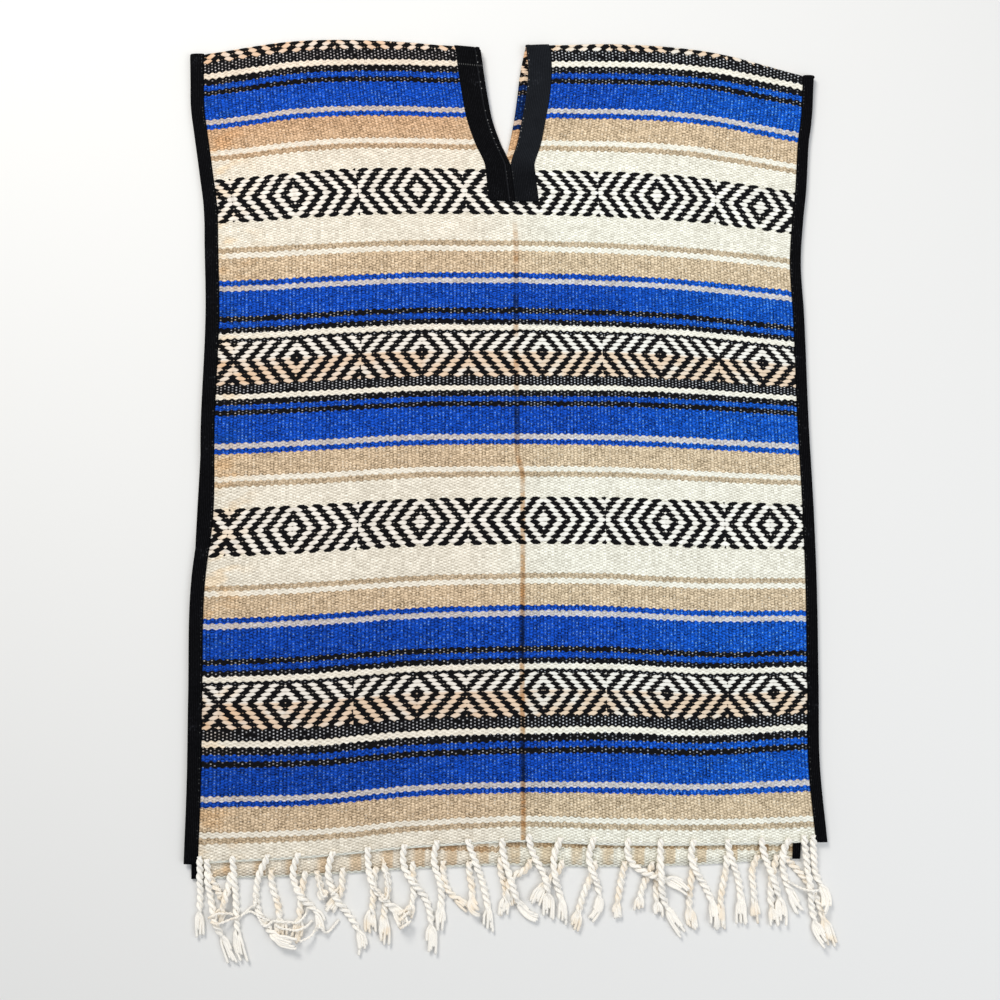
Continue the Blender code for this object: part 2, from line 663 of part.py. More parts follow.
def make_fringe(name, grids, routes, collection, cutters):
    """Hem strip with its cords fused to it."""
    fringe = add_object(name, sheet_mesh(name, grids), "cream_cord", collection)
    give_wall(fringe, CLOTH_WALL)
    for number, route in enumerate(routes):
        cord = as_mesh_object(cord_object("%s_cord_%02d" % (name, number), route))
        cutters.objects.link(cord)
        cord.hide_render = True
        cord.display_type = "WIRE"
        join = fringe.modifiers.new("Cord %02d" % number, "BOOLEAN")
        join.operation = "UNION"
        join.object = cord
    return fringe


def main():
    for leftover in list(bpy.data.objects):
        bpy.data.objects.remove(leftover)
    collection = bpy.data.collections.new("mexican_serape")
    cutters = bpy.data.collections.new("fringe_cords")
    for group in (collection, cutters):
        bpy.context.scene.collection.children.link(group)

    for name, sides, rows in cloth_stretches():
        make_cloth(name, sides, rows, collection)
    make_binding("left", LEFT_BINDING, collection)
    make_binding("right", RIGHT_BINDING, collection)
    make_neck_tape("left", LEFT_NECK_TAPE, collection)
    make_neck_tape("right", RIGHT_NECK_TAPE, collection)

    back_line = hem_line("back", BACK_HEM)
    front_line = hem_line("front", FRONT_HEM)
    laid = []
    back_routes = settle_cords(BACK_CORDS, back_line, back_line, False, laid)
    front_routes = settle_cords(FRONT_CORDS, front_line, back_line, True, laid)
    make_fringe("fringe_back", hem_strip("back", BACK_HEM), back_routes, collection, cutters)
    make_fringe("fringe_front", hem_strip("front", FRONT_HEM), front_routes, collection,
                cutters)


main()
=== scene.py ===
"""Looks of a serape poncho that lies flat with its front up.

The cloth is one thin shell over the shoulders, with its stripes and lozenge bands worked
out pick by pick in the material.  Tapes bind its sides and neck, and both hems end in
cords of six yarns each.  Units are metres, +X right, +Y towards the shoulders, +Z up.
"""

import math
from types import SimpleNamespace

import bpy
import numpy as np
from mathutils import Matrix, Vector


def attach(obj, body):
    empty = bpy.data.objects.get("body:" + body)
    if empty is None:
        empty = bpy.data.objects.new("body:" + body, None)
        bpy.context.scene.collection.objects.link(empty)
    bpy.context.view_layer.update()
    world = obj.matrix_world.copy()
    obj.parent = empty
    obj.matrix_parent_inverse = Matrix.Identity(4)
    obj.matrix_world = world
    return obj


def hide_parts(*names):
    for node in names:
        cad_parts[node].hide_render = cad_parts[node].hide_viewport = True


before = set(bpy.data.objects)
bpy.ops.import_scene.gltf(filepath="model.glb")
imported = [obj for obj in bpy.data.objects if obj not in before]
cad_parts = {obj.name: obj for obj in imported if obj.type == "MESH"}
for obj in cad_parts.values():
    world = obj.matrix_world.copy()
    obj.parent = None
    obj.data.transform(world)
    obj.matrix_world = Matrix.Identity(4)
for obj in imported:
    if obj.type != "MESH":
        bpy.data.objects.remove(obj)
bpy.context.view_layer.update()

# ------------------------------------------------------------- sizes, in metres
CLOTH_WALL = 0.0024
PINCHED_WALL = 0.0012
TAPE_WALL = 0.0010
ROUND_END = 0.7           # how far a tape's rounded edge stands out, by half its wall
SEAM_GAP = 0.0003
PANEL_GAP = 0.0004        # between the front and the back
STACK = TAPE_WALL + SEAM_GAP

TOP_LINE = 0.5376
FOLD_RADIUS = 0.0030
FOLD_REACH = 0.060        # the front comes down from the fold over this length
HALF_WIDTH = 0.340        # warp coordinate of the middle of the cloth

BINDING_WIDTH = {"left": 0.016, "right": 0.013}
NECK_TAPE_WIDTH = {"left": 0.030, "right": 0.028}
NECK_TAIL = 0.047         # the neck tapes run on past the slit
NECK_RAMP = 0.024         # the cloth settles over this length past the neck tapes
FRONT_RAMP_START = 0.016  # from the end of the tapes
BACK_RAMP_START = 0.002
FRONT_TAPED = (0.046, 0.024)     # from the slit: how far the cloth stays up, and its slope
BACK_TAPED = (0.034, 0.016)
CREASE_RIDGE = 0.0016
CREASE_RUN = 0.080        # it rises to its full height over this length
CREASE_BELL = ((0.0, 0.004, 0.011, 0.030), (1.0, 0.75, 0.35, 0.0))   # from the middle: share
FRONT_SLIT = 0.156
BACK_SLIT = 0.146
FRONT_HEM = 0.956
BACK_HEM = 0.967
FRONT_TAPE_END = FRONT_SLIT + NECK_TAIL
BACK_TAPE_END = BACK_SLIT + NECK_TAIL

# X of the cloth's edges at distances from the top line.
EDGES = {
    "front": {
        "down": (0.000, 0.030, 0.064, 0.101, 0.128, 0.156, 0.200, 0.248, 0.321, 0.464, 0.569,
                 0.638, 0.774, 0.874, 0.956),
        "left": (-0.358, -0.357, -0.356, -0.351, -0.347, -0.343, -0.337, -0.335, -0.332,
                 -0.334, -0.333, -0.340, -0.340, -0.339, -0.340),
        "slit_left": (-0.027, -0.023, -0.018, -0.011, -0.002, 0.010, 0.015, 0.019, 0.019,
                      0.020, 0.020, 0.020, 0.019, 0.020, 0.020),
        "slit_right": (0.028, 0.031, 0.029, 0.023, 0.018, 0.010, 0.015, 0.019, 0.019, 0.020,
                       0.020, 0.020, 0.019, 0.020, 0.020),
        "right": (0.361, 0.359, 0.357, 0.352, 0.350, 0.348, 0.343, 0.339, 0.341, 0.343, 0.346,
                  0.347, 0.346, 0.345, 0.351),
    },
    "back": {
        "down": (0.000, 0.030, 0.064, 0.101, 0.128, 0.146, 0.248, 0.464, 0.638, 0.774, 0.967),
        "left": (-0.358, -0.357, -0.356, -0.351, -0.347, -0.344, -0.335, -0.334, -0.338,
                 -0.337, -0.332),
        "slit_left": (-0.027, -0.025, -0.021, -0.013, -0.004, 0.004, 0.003, 0.002, 0.001,
                      0.000, -0.001),
        "slit_right": (0.028, 0.022, 0.018, 0.013, 0.008, 0.004, 0.003, 0.002, 0.001, 0.000,
                       -0.001),
        "right": (0.361, 0.359, 0.357, 0.351, 0.348, 0.345, 0.337, 0.338, 0.337, 0.334, 0.321),
    },
}
# How far each line across the cloth lies from straight, at seven even stations from the
# left edge to the right, for each distance from the top line.
BOWS = {
    "front": {
        0.050: (-0.021, -0.005, -0.002, -0.005, -0.005, -0.012, -0.033),
        0.303: (-0.007, -0.002, 0.003, 0.004, 0.000, -0.007, -0.019),
        0.451: (-0.008, -0.002, 0.004, 0.005, 0.004, 0.000, -0.006),
        0.698: (-0.009, -0.004, 0.004, 0.008, 0.008, 0.003, 0.003),
        0.853: (-0.005, -0.003, 0.007, 0.011, 0.012, 0.009, 0.014),
        0.956: (-0.009, -0.003, 0.008, 0.015, 0.011, 0.011, 0.015),
    },
    "back": {
        0.030: (-0.018, -0.001, -0.001, -0.010, -0.005, -0.015, -0.045),
        0.300: (-0.010, -0.003, 0.000, 0.000, -0.002, -0.006, -0.018),
        0.967: (-0.015, -0.012, -0.005, 0.000, -0.002, 0.000, 0.007),
    },
}
# How far the fold lies below the top line, at even stations from the outer edge to the slit.
SHOULDER_DROP = {"left": (0.019, 0.002, 0.002, 0.012), "right": (0.046, 0.016, 0.006, 0.009)}
STATIONS = np.linspace(0.0, 1.0, 4)

BACK_BOUND = STACK + PINCHED_WALL / 2
BACK_OPEN = CLOTH_WALL / 2
BOUND_TOP = 2 * STACK + PINCHED_WALL
FRONT_BOUND = BOUND_TOP + SEAM_GAP + STACK + PINCHED_WALL / 2
FRONT_RAISED = BOUND_TOP + SEAM_GAP + CLOTH_WALL / 2
FRONT_OPEN = CLOTH_WALL + PANEL_GAP + CLOTH_WALL / 2
# Height of the middle of the wall, by distance from the outer edge.
EDGE_HEIGHTS = {
    ("front", "left"): ((0.0, 0.020, 0.045), (FRONT_BOUND, FRONT_RAISED, FRONT_OPEN)),
    ("front", "right"): ((0.0, 0.045, 0.075), (FRONT_BOUND, FRONT_RAISED, FRONT_OPEN)),
    ("back", "left"): ((0.0, 0.020), (BACK_BOUND, BACK_OPEN)),
    ("back", "right"): ((0.0, 0.020), (BACK_BOUND, BACK_OPEN)),
}
# Soft ridges in the front: X and distance down of both ends, half width and height.
RIDGES = (
    (-0.335, 0.170, -0.230, 0.215, 0.016, 0.0016),
    (-0.330, 0.262, -0.255, 0.250, 0.013, 0.0013),
    (0.338, 0.150, 0.240, 0.205, 0.018, 0.0016),
    (0.342, 0.330, 0.262, 0.318, 0.014, 0.0010),
    (-0.335, 0.520, -0.262, 0.548, 0.016, 0.0012),
    (0.344, 0.585, 0.290, 0.560, 0.013, 0.0010),
    (-0.060, 0.245, 0.000, 0.215, 0.012, 0.0012),
    (0.100, 0.250, 0.045, 0.218, 0.013, 0.0010),
    (-0.338, 0.790, -0.285, 0.770, 0.012, 0.0010),
    (0.346, 0.800, 0.300, 0.815, 0.014, 0.0012),
    (-0.170, 0.905, -0.165, 0.956, 0.012, 0.0014),
    (0.130, 0.900, 0.128, 0.956, 0.012, 0.0014),
    (-0.290, 0.030, -0.250, 0.085, 0.018, 0.0012),
    (0.300, 0.050, 0.262, 0.110, 0.020, 0.0014),
)


RIDGES_BELOW = (0.06, 0.05)      # from the top line: where ridges begin, and over what run
RIDGES_INSIDE = (0.004, 0.02)    # the same from the outer edge


# ------------------------------------------------------------------ working maths
def hermite(t, low, low_slope, high, high_slope, span=1.0):
    """Cubic from low to high as t runs from 0 to 1, with its slopes over the span's length."""
    return ((2 * t**3 - 3 * t**2 + 1) * low
            + (t**3 - 2 * t**2 + t) * span * low_slope
            + (3 * t**2 - 2 * t**3) * high
            + (t**3 - t**2) * span * high_slope)


def smooth_through(knots, values, at):
    """Smooth curve through values at knots, level past both ends (cubic Hermite)."""
    knots, values = np.asarray(knots, float), np.asarray(values, float)
    at = np.clip(np.asarray(at, float), knots[0], knots[-1])
    slopes = np.gradient(values, knots, axis=0)
    index = np.clip(np.searchsorted(knots, at, side="right") - 1, 0, len(knots) - 2)
    span = knots[index + 1] - knots[index]
    t = (at - knots[index]) / span
    shape = t.shape + (1,) * (values.ndim - 1)
    return hermite(t.reshape(shape), values[index], slopes[index], values[index + 1],
                   slopes[index + 1], span.reshape(shape))


def ease(t):
    """0 to 1 with level ends."""
    t = np.clip(t, 0.0, 1.0)
    return t * t * (3.0 - 2.0 * t)


def ramp_from(value, reach):
    """0 up to a start, rising to 1 over a run."""
    start, run = reach
    return ease((value - start) / run)


def taken(array, index):
    """Each point's own entry of the last axis."""
    return np.take_along_axis(array, index[..., None], -1)[..., 0]


# --------------------------------------------------------------- the folded cloth
def edge_at(panel, name, down):
    """X of an edge; below the slit both halves end at the middle between its sides."""
    table = EDGES[panel]
    if not name.startswith("slit"):
        return smooth_through(table["down"], table[name], down)
    slit_end = FRONT_SLIT if panel == "front" else BACK_SLIT
    left, right = (smooth_through(table["down"], table["slit_" + side], down)
                   for side in ("left", "right"))
    own = left if name == "slit_left" else right
    return np.where(down >= slit_end, (left + right) / 2, own)


def bow_at(panel, side, down, share):
    """Distance of the line across at `down` from straight, at shares of one half."""
    table = BOWS[panel]
    rows = np.array(list(table.values()))
    rows = rows[:, :4] if side == "left" else rows[:, :2:-1]
    stations = smooth_through(list(table), rows, down)
    flat = np.broadcast_to(share, np.broadcast_shapes(np.shape(share), np.shape(down)))
    stations = np.broadcast_to(stations, flat.shape + (4,))
    at = np.clip(flat, 0.0, 1.0) * 3.0
    index = np.clip(at.astype(int), 0, 2)
    slopes = np.gradient(stations, axis=-1)
    return hermite(at - index, taken(stations, index), taken(slopes, index),
                   taken(stations, index + 1), taken(slopes, index + 1))


def segment_distance(x, y, x0, y0, x1, y1):
    """Distance from points to a segment."""
    dx, dy = x1 - x0, y1 - y0
    t = np.clip(((x - x0) * dx + (y - y0) * dy) / (dx * dx + dy * dy), 0.0, 1.0)
    return np.hypot(x - x0 - t * dx, y - y0 - t * dy)


def ridge_height(x, down):
    """Soft ridges of the front, each a bell across its segment."""
    height = np.zeros_like(x)
    for x0, down0, x1, down1, width, rise in RIDGES:
        far = segment_distance(x, down, x0, down0, x1, down1)
        height = height + rise * np.exp(-(far / width) ** 2)
    return height


def taped(from_slit, reach):
    """1 over the neck tape, falling to 0 past it."""
    return 1.0 - ramp_from(from_slit, reach)


def wall_height(panel, side, down, from_edge, from_slit, x):
    """Height of the middle of the wall, away from the fold.

    It rises over the binding and the neck tapes under it, to the crease, and over the
    soft ridges, which stay clear of the fold, the outer edge and the tapes.
    """
    knots, values = EDGE_HEIGHTS[panel, side]
    height = np.interp(from_edge, knots, values)
    if panel == "back":
        fade = 1.0 - ease((down - BACK_TAPE_END - BACK_RAMP_START) / NECK_RAMP)
        return height + STACK * fade * taped(from_slit, BACK_TAPED)
    fade = 1.0 - ease((down - FRONT_TAPE_END - FRONT_RAMP_START) / NECK_RAMP)
    height = height + STACK * fade * taped(from_slit, FRONT_TAPED)
    crease = ease((down - FRONT_TAPE_END) / CREASE_RUN)
    clear = ramp_from(down, RIDGES_BELOW) * ramp_from(from_edge, RIDGES_INSIDE)
    tape_clear = 1.0 - fade * taped(from_slit, FRONT_TAPED)
    return (height + CREASE_RIDGE * crease * np.interp(from_slit, *CREASE_BELL)
            + ridge_height(x, down) * clear * tape_clear)


def fold_place(side, share):
    """Y of the fold's middle line, and how far down the cloth the front leaves it."""
    drop = smooth_through(STATIONS, SHOULDER_DROP[side], np.clip(share, 0.0, 1.0))
    y = TOP_LINE - drop - CLOTH_WALL / 2 - FOLD_RADIUS
    return y, TOP_LINE - y + bow_at("front", side, np.zeros_like(share), share)


def cloth_point(panel, side, along, share, shift):
    """Middle of the wall: x, y, z, and the cloth's own coordinates across and down.

    share runs from the outer edge (0) to the slit or the middle (1), and shift moves the
    point on towards the slit, in metres.  along is 0 at the shoulder and 1 at the hem,
    or on the fold the turn from the front (0) to the back (pi).  The fold is a half
    circle in Y and Z; the front comes down from it over FOLD_REACH.
    """
    inward = 1.0 if side == "left" else -1.0
    along, share, shift = np.broadcast_arrays(along, share, shift)
    local = np.clip(share + shift / HALF_WIDTH, 0.0, 1.0)
    fold_y, fold_down = fold_place(side, local)
    if panel == "front":
        down = fold_down + (FRONT_HEM - fold_down) * along
    elif panel == "back":
        start = TOP_LINE - fold_y + bow_at("back", side, np.zeros_like(local), local)
        down = start + (BACK_HEM - start) * along
    else:
        down = np.zeros_like(along)
    table = "back" if panel == "back" else "front"
    outer = edge_at(table, side, down)
    inner = edge_at(table, "slit_" + side, down)
    x = outer + (inner - outer) * share + inward * shift
    from_edge, from_slit = inward * (x - outer), inward * (inner - x)
    fold_z = wall_height("back", side, np.zeros_like(x), from_edge, from_slit, x)
    across = from_edge * HALF_WIDTH / np.abs(inner - outer)
    across = np.where(from_edge < 0.0, from_edge, across)
    across = across if side == "left" else 2 * HALF_WIDTH - across
    if panel == "fold":
        y = fold_y + FOLD_RADIUS * np.sin(along)
        z = fold_z + FOLD_RADIUS * (1.0 + np.cos(along))
        return x, y, z, across, fold_down - FOLD_RADIUS * along
    y = TOP_LINE - down + bow_at(table, side, down, local)
    z = wall_height(table, side, down, from_edge, from_slit, x)
    if panel == "back":
        return x, y, z, across, fold_down - math.pi * FOLD_RADIUS - (down - start)
    lifted = fold_z + 2 * FOLD_RADIUS
    z = z + (lifted - z) * (1.0 - ease((fold_y - y) / FOLD_REACH))
    return x, y, z, across, down


# ------------------------------------------------------------- shader building blocks
HAIR = 1e-4               # how early a band begins and ends, so that whole numbers count


class Value:
    """What a shader node puts out; arithmetic on it adds the node that works it out."""

    def __init__(self, graph, socket):
        self.graph = graph
        self.socket = socket

    def __add__(self, other):
        return self.graph.math("ADD", self, other)

    def __radd__(self, other):
        return self.graph.math("ADD", other, self)

    def __sub__(self, other):
        return self.graph.math("SUBTRACT", self, other)

    def __rsub__(self, other):
        return self.graph.math("SUBTRACT", other, self)

    def __mul__(self, other):
        return self.graph.math("MULTIPLY", self, other)

    def __truediv__(self, number):
        return self * (1 / number)

    def __abs__(self):
        return self.graph.math("ABSOLUTE", self)

    def whole(self):
        return self.graph.math("FLOOR", self)

    def fraction(self):
        return self.graph.math("FRACT", self)


class Graph:
    """A node tree under construction; its calls add a node and give back its Values."""

    def __init__(self, tree):
        self.tree = tree

    def put(self, socket, value):
        if isinstance(value, Value):
            self.tree.links.new(value.socket, socket)
        else:
            socket.default_value = value

    def place(self, kind, inputs, **settings):
        """The new node itself, with its settings made and its inputs put in."""
        made = self.tree.nodes.new(kind)
        for name, value in settings.items():
            setattr(made, name, value)
        for key, value in inputs.items():
            self.put(made.inputs[key], value)
        return made

    def outputs(self, made):
        return [Value(self, socket) for socket in made.outputs]

    def named(self, made):
        return {socket.name: Value(self, socket) for socket in made.outputs}

    def node(self, kind, inputs, output=0, **settings):
        return self.outputs(self.place(kind, inputs, **settings))[output]

    def math(self, operation, a, b=0.0):
        return self.node("ShaderNodeMath", {0: a, 1: b}, operation=operation)

    def most(self, a, b):
        return self.math("MAXIMUM", a, b)

    def between(self, value, low, high):
        """1 where low <= value < high, a hair early so that whole numbers count."""
        return (self.math("GREATER_THAN", value, low - HAIR)
                * self.math("LESS_THAN", value, high - HAIR))

    def step(self, value, low, high):
        """Smooth step from 0 at low to 1 at high."""
        return self.node("ShaderNodeMapRange", {"Value": value, "From Min": low,
                                                "From Max": high},
                         interpolation_type="SMOOTHSTEP")

    def mix(self, share, a, b, blend="MIX"):
        return self.node("ShaderNodeMix", {0: share, 6: a, 7: b}, output=2,
                         data_type="RGBA", blend_type=blend)

    def tint(self, colour, share, by):
        """The colour multiplied by another, as far as share goes."""
        return self.mix(share, colour, by, "MULTIPLY")

    def ramp(self, value, stops):
        """Colour and fourth number of the last (place, colour) stop at or before value."""
        made = self.tree.nodes.new("ShaderNodeValToRGB")
        made.color_ramp.interpolation = "CONSTANT"
        elements = made.color_ramp.elements
        while len(elements) < len(stops):
            elements.new(1.0)
        for element, (place, colour) in zip(elements, stops):
            element.position = place
            element.color = colour
        self.put(made.inputs[0], value)
        return self.outputs(made)

    def split(self, vector):
        return self.outputs(self.place("ShaderNodeSeparateXYZ", {0: vector}))

    def join(self, x, y, z=0.0):
        return self.node("ShaderNodeCombineXYZ", {0: x, 1: y, 2: z})

    def uv(self, name):
        return self.split(self.node("ShaderNodeUVMap", {}, uv_map=name))[:2]

    def attribute(self, name):
        return self.node("ShaderNodeAttribute", {}, output=2, attribute_name=name)

    def noise(self, vector, scale, detail):
        return self.node("ShaderNodeTexNoise", {"Vector": vector, "Scale": scale,
                                                "Detail": detail})

    def random(self, x, y):
        """A value from 0 to 1 of its own for each whole-numbered place."""
        return self.node("ShaderNodeTexWhiteNoise", {"Vector": self.join(x, y)})

    def use(self, group, inputs):
        """A node group in this tree; its outputs are read by name."""
        return self.named(self.place("ShaderNodeGroup", inputs, node_tree=group))


def make_group(name, inputs, outputs):
    """Empty node group with number sockets: its graph, what comes in and what goes out."""
    tree = bpy.data.node_groups.new(name, "ShaderNodeTree")
    for direction, names in (("INPUT", inputs), ("OUTPUT", outputs)):
        for socket in names:
            tree.interface.new_socket(name=socket, in_out=direction,
                                      socket_type="NodeSocketFloat")
    graph = Graph(tree)
    given = graph.named(tree.nodes.new("NodeGroupInput"))
    return graph, given, tree.nodes.new("NodeGroupOutput").inputs


def new_material(name):
    """A new material, its graph and its Principled shader."""
    material = bpy.data.materials.new(name)
    material.use_nodes = True
    return material, Graph(material.node_tree), material.node_tree.nodes["Principled BSDF"]


def finish_material(graph, shader, colour, roughness, shine, height, bump):
    """Colour, roughness and shine of a shader, and a bump of (distance, strength)."""
    graph.put(shader.inputs["Base Color"], colour)
    shader.inputs["Roughness"].default_value = roughness
    shader.inputs["Specular IOR Level"].default_value = shine
    graph.put(shader.inputs["Normal"], graph.node(
        "ShaderNodeBump", {"Height": height, "Distance": bump[0], "Strength": bump[1]}))


def from_srgb(red, green, blue, gap=1.0):
    """Linear colour of an 8-bit sRGB one; the fourth number is the light left in its gaps."""
    value = np.array([red, green, blue]) / 255.0
    linear = np.where(value <= 0.04045, value / 12.92, ((value + 0.055) / 1.055) ** 2.4)
    return tuple(float(v) for v in linear) + (gap,)


BLUE = from_srgb(21, 83, 204, 0.30)
BLACK = from_srgb(15, 15, 18, 0.99)
WHITE = from_srgb(247, 247, 235, 0.80)
CREAM = from_srgb(250, 250, 237, 0.70)
TAN = from_srgb(233, 214, 183, 0.46)
SAND = from_srgb(214, 198, 170, 0.50)
PALE_TAN = from_srgb(214, 214, 217, 0.60)
PEACH = from_srgb(226, 205, 180)
FLOAT_WHITE = from_srgb(236, 236, 229)
GLINT = from_srgb(112, 166, 244)
TAPE = from_srgb(8, 8, 10)
# the right neck tape's lighter colour
PALER_TAPE = from_srgb(24, 26, 30)
# painted highlight on the tape's ribs, also used for a line beside the lip's groove
TAPE_HIGHLIGHT_GREY = from_srgb(44, 45, 49)
LINT = from_srgb(80, 82, 90)
CORD = from_srgb(250, 246, 238)
WARM_CORD_PATCH = from_srgb(244, 224, 194)
THREAD = from_srgb(190, 190, 188)
# Colours that others are multiplied by.
# painted cool sheen on the blue towards the right
BLUE_RIGHT_SHEEN = (1.2, 1.55, 1.22, 1.0)
DULL_BLUE = (0.88, 0.80, 0.80, 1.0)
# painted warmer light on the pale yarn of the left half
LEFT_WARM_LIGHT = (0.965, 0.90, 0.87, 1.0)
# painted warm light near the shoulders
SHOULDER_WARM_LIGHT = (0.94, 0.74, 0.62, 1.0)
# painted shade on the inside of the cloth
INSIDE_SHADE_BROWN = (0.96, 0.78, 0.64, 1.0)
# painted shade along the crease, brownish on pale yarn and darker on blue
CREASE_SHADE_BROWN = (0.60, 0.40, 0.24, 1.0)
CREASE_SHADE_ON_BLUE = (0.35, 0.35, 0.45, 1.0)
STAIN = (1.0, 0.78, 0.53, 1.0)
CORD_SHADE = (0.80, 0.65, 0.49, 1.0)

# ------------------------------------------------------------------ the cloth's weave
COLUMNS = 164             # warp ends across the cloth
REPEAT = 139              # picks in one repeat, counted from the middle of the light band
FINE_PICK = 0.575         # picks of the stripes' own finer weave
SCALLOP = 0.29            # picks by which the floats' ends scallop a stripe's edge
WAVER = (0.4, 0.8)        # columns and picks by which the weave wavers
LIGHT_BAND = (0.1, 10.6)  # middle and half width, in picks
LIGHT_SHOWN = (-330.0, 255.0)    # picks between which light bands are woven
DARK_BAND = (60.9, 68.35, 78.5)  # start, middle of the lozenges, end
DOTTED_END = 82.2
LIGHT_ROWS = (0.945, 1.045)      # height of a lozenge row above and below the middle, in picks
DARK_ROWS = (0.84, 0.93)
FLOAT_HALF = 1.65         # columns
FLOAT_TILT = 0.28         # rows to a column
LIGHT_END = 9.0           # last dark row of the light band
NO_END = 30.0             # more rows than a dark band has
LIGHT_TURN = 2.5          # columns from a lozenge's middle to the first dark float
DARK_TURN = 0.47
# Stripes of one repeat: the pick where each starts, and its colour.
STRIPES = (
    (0, CREAM), (21.4, SAND), (23.6, WHITE), (26.0, TAN), (35.2, BLUE), (37.4, PALE_TAN),
    (39.5, BLUE), (50.6, BLACK), (52.8, BLUE), (55.1, BLACK), (57.3, WHITE), (59.6, BLACK),
    (82.2, WHITE), (84.7, BLACK), (87.0, BLUE), (89.3, BLACK), (91.5, BLUE),
    (102.8, PALE_TAN), (104.8, BLUE), (107.1, TAN), (116.9, WHITE), (119.3, SAND),
    (121.2, CREAM),
)
# By the light left in a yarn's gaps: share of gaps with a pale warp dot, its strength, and
# how blue it looks.
WARP_DOTS = ((0.0, (0.46, 0.80, 1, 1)), (0.40, (0.36, 0.50, 0, 1)), (0.60, (0, 0, 0, 1)),
             (0.95, (0.80, 0.58, 0.25, 1)))
FLOAT_GAP, MOTTLE = 0.42, 2.60   # how far painted shade in the gaps, and uneven yarn, darken, by a yarn's depth
COLUMN_LINE = 0.36        # how far painted shade on the lines between columns darkens a deep yarn
PALE_GAP = 0.075          # how much more the painted shade in the gaps between pale floats shows
LOZENGE_GAP = 0.42        # how far painted shade darkens the gaps between the floats of a lozenge
DARKEST = 0.05
# Middle of each lozenge across the cloth in millimetres, and how many floats past halfway
# from the one before the threading turns.
LOZENGES = ((-53.0, 0), (89.1, 0), (230.5, 0), (368.9, -2), (515.0, 0), (640.1, 1))
LOZENGE_SPAN = (60.0, 720.0)     # millimetres left of the cloth and in all that middles span
WIDTH_MM = 680.0
FLOAT_MM = 4 * WIDTH_MM / COLUMNS
CREASE = (81.3, 82.9)            # columns of the crease above and below its bend
CREASE_BEND = (110.0, 122.0)     # picks
LAST_PICK = 0.0026               # metres
LIFT_TO_METRES = 0.0016          # how far a pick's lift moves the edge of the last one
HEM_SHADE = (-380.0, -374.0)     # picks over which the shade behind the front hem begins
CORD_START, CORD_PITCH = 7.9, 8.85   # columns of the first cord's shade and between cords


def make_lattice():
    """Fine plain weave: floats one column wide and two fine picks long, staggered.

    Checker is 1 on the middle of a float and -1 in the gap between two floats of a column.
    Tone has a value of its own for each float and Speck for each gap.  Dot is 1 on the
    narrow bit of warp in a gap.  Lift moves a colour line so that it runs in scallops.
    """
    graph, given, result = make_group(
        "fine_weave", ("Column", "Pick"), ("Checker", "Tone", "Speck", "Dot", "Lift"))
    column = given["Column"].whole()
    aside = abs(given["Column"].fraction() - 0.5)
    swing = graph.math("SINE", given["Column"] * math.pi)
    beat = graph.math("COSINE", given["Pick"] * (math.pi / FINE_PICK))
    checker = swing * beat
    graph.put(result["Checker"], checker)
    even = (column * 0.5 + 0.5).fraction()
    place = given["Pick"] * (0.5 / FINE_PICK) + even
    graph.put(result["Tone"], graph.random(column, place.whole()))
    gap = (place + 0.5).whole()
    graph.put(result["Speck"], graph.random(column, gap + 0.3))
    narrow = 1.0 - graph.step(aside, 0.13, 0.25)
    graph.put(result["Dot"], narrow * graph.step(checker, -0.05, -0.6))
    uneven = 0.7 + graph.random(column, 0.7) * 0.6
    graph.put(result["Lift"], swing * uneven * SCALLOP)
    return graph.tree


def make_lozenges():
    """Goose-eye weave: dark and light rows in turn, with floats four columns apart.

    Far counts columns from the middle of the nearest lozenge and Row counts rows from the
    middle of the band; dark floats lie on odd rows and light ones on even rows.  Each row
    out, the floats move half a column further in, which draws the slanting sides.  A float
    is a tilted lens, and the deeper of the two lenses at a point is the one that shows.
    Past the row given as End only the dark lenses remain, and Beyond is 1 between them.
    """
    graph, given, result = make_group("goose_eye", ("Far", "Row", "Turn", "End"),
                                      ("Dark", "Height", "Odd row", "Beyond"))
    row = abs(given["Row"])
    half = row * 0.5
    odd = half.whole() * 2.0 + 1.0
    even = (half + 0.5).whole() * 2.0
    place = given["Far"] - given["Turn"]
    lenses = []
    for own, ahead in ((odd, 1.5), (even, -0.5)):
        along = place + (own * 0.5 + ahead)
        along = graph.math("FLOORED_MODULO", along, 4.0) - 2.0
        bulge = graph.math("POWER", abs(along / FLOAT_HALF), 2.0)
        off = row - own + along * FLOAT_TILT
        lenses.append(1.0 - bulge - abs(off))
    past = graph.math("GREATER_THAN", row, given["End"])
    lenses[1] = lenses[1] * (1.0 - past)
    lead = lenses[0] - lenses[1]
    dark = graph.step(lead, -0.18, -0.06) * graph.math("LESS_THAN", row, given["End"] + 1.0)
    graph.put(result["Dark"], dark)
    graph.put(result["Beyond"], past * (1.0 - dark))
    deeper = graph.most(lenses[0], lenses[1])
    graph.put(result["Height"], graph.step(deeper, -0.05, 0.45))
    graph.put(result["Odd row"], graph.step(abs(row - odd), 0.55, 0.25))
    return graph.tree


def repeat_of(value, middle):
    """Picks since the repeat's start, or since the given middle when that is set."""
    if middle is None:
        return (value / REPEAT).fraction() * REPEAT
    turned = value / REPEAT + (0.5 - middle / REPEAT)
    return (turned.fraction() - 0.5) * REPEAT


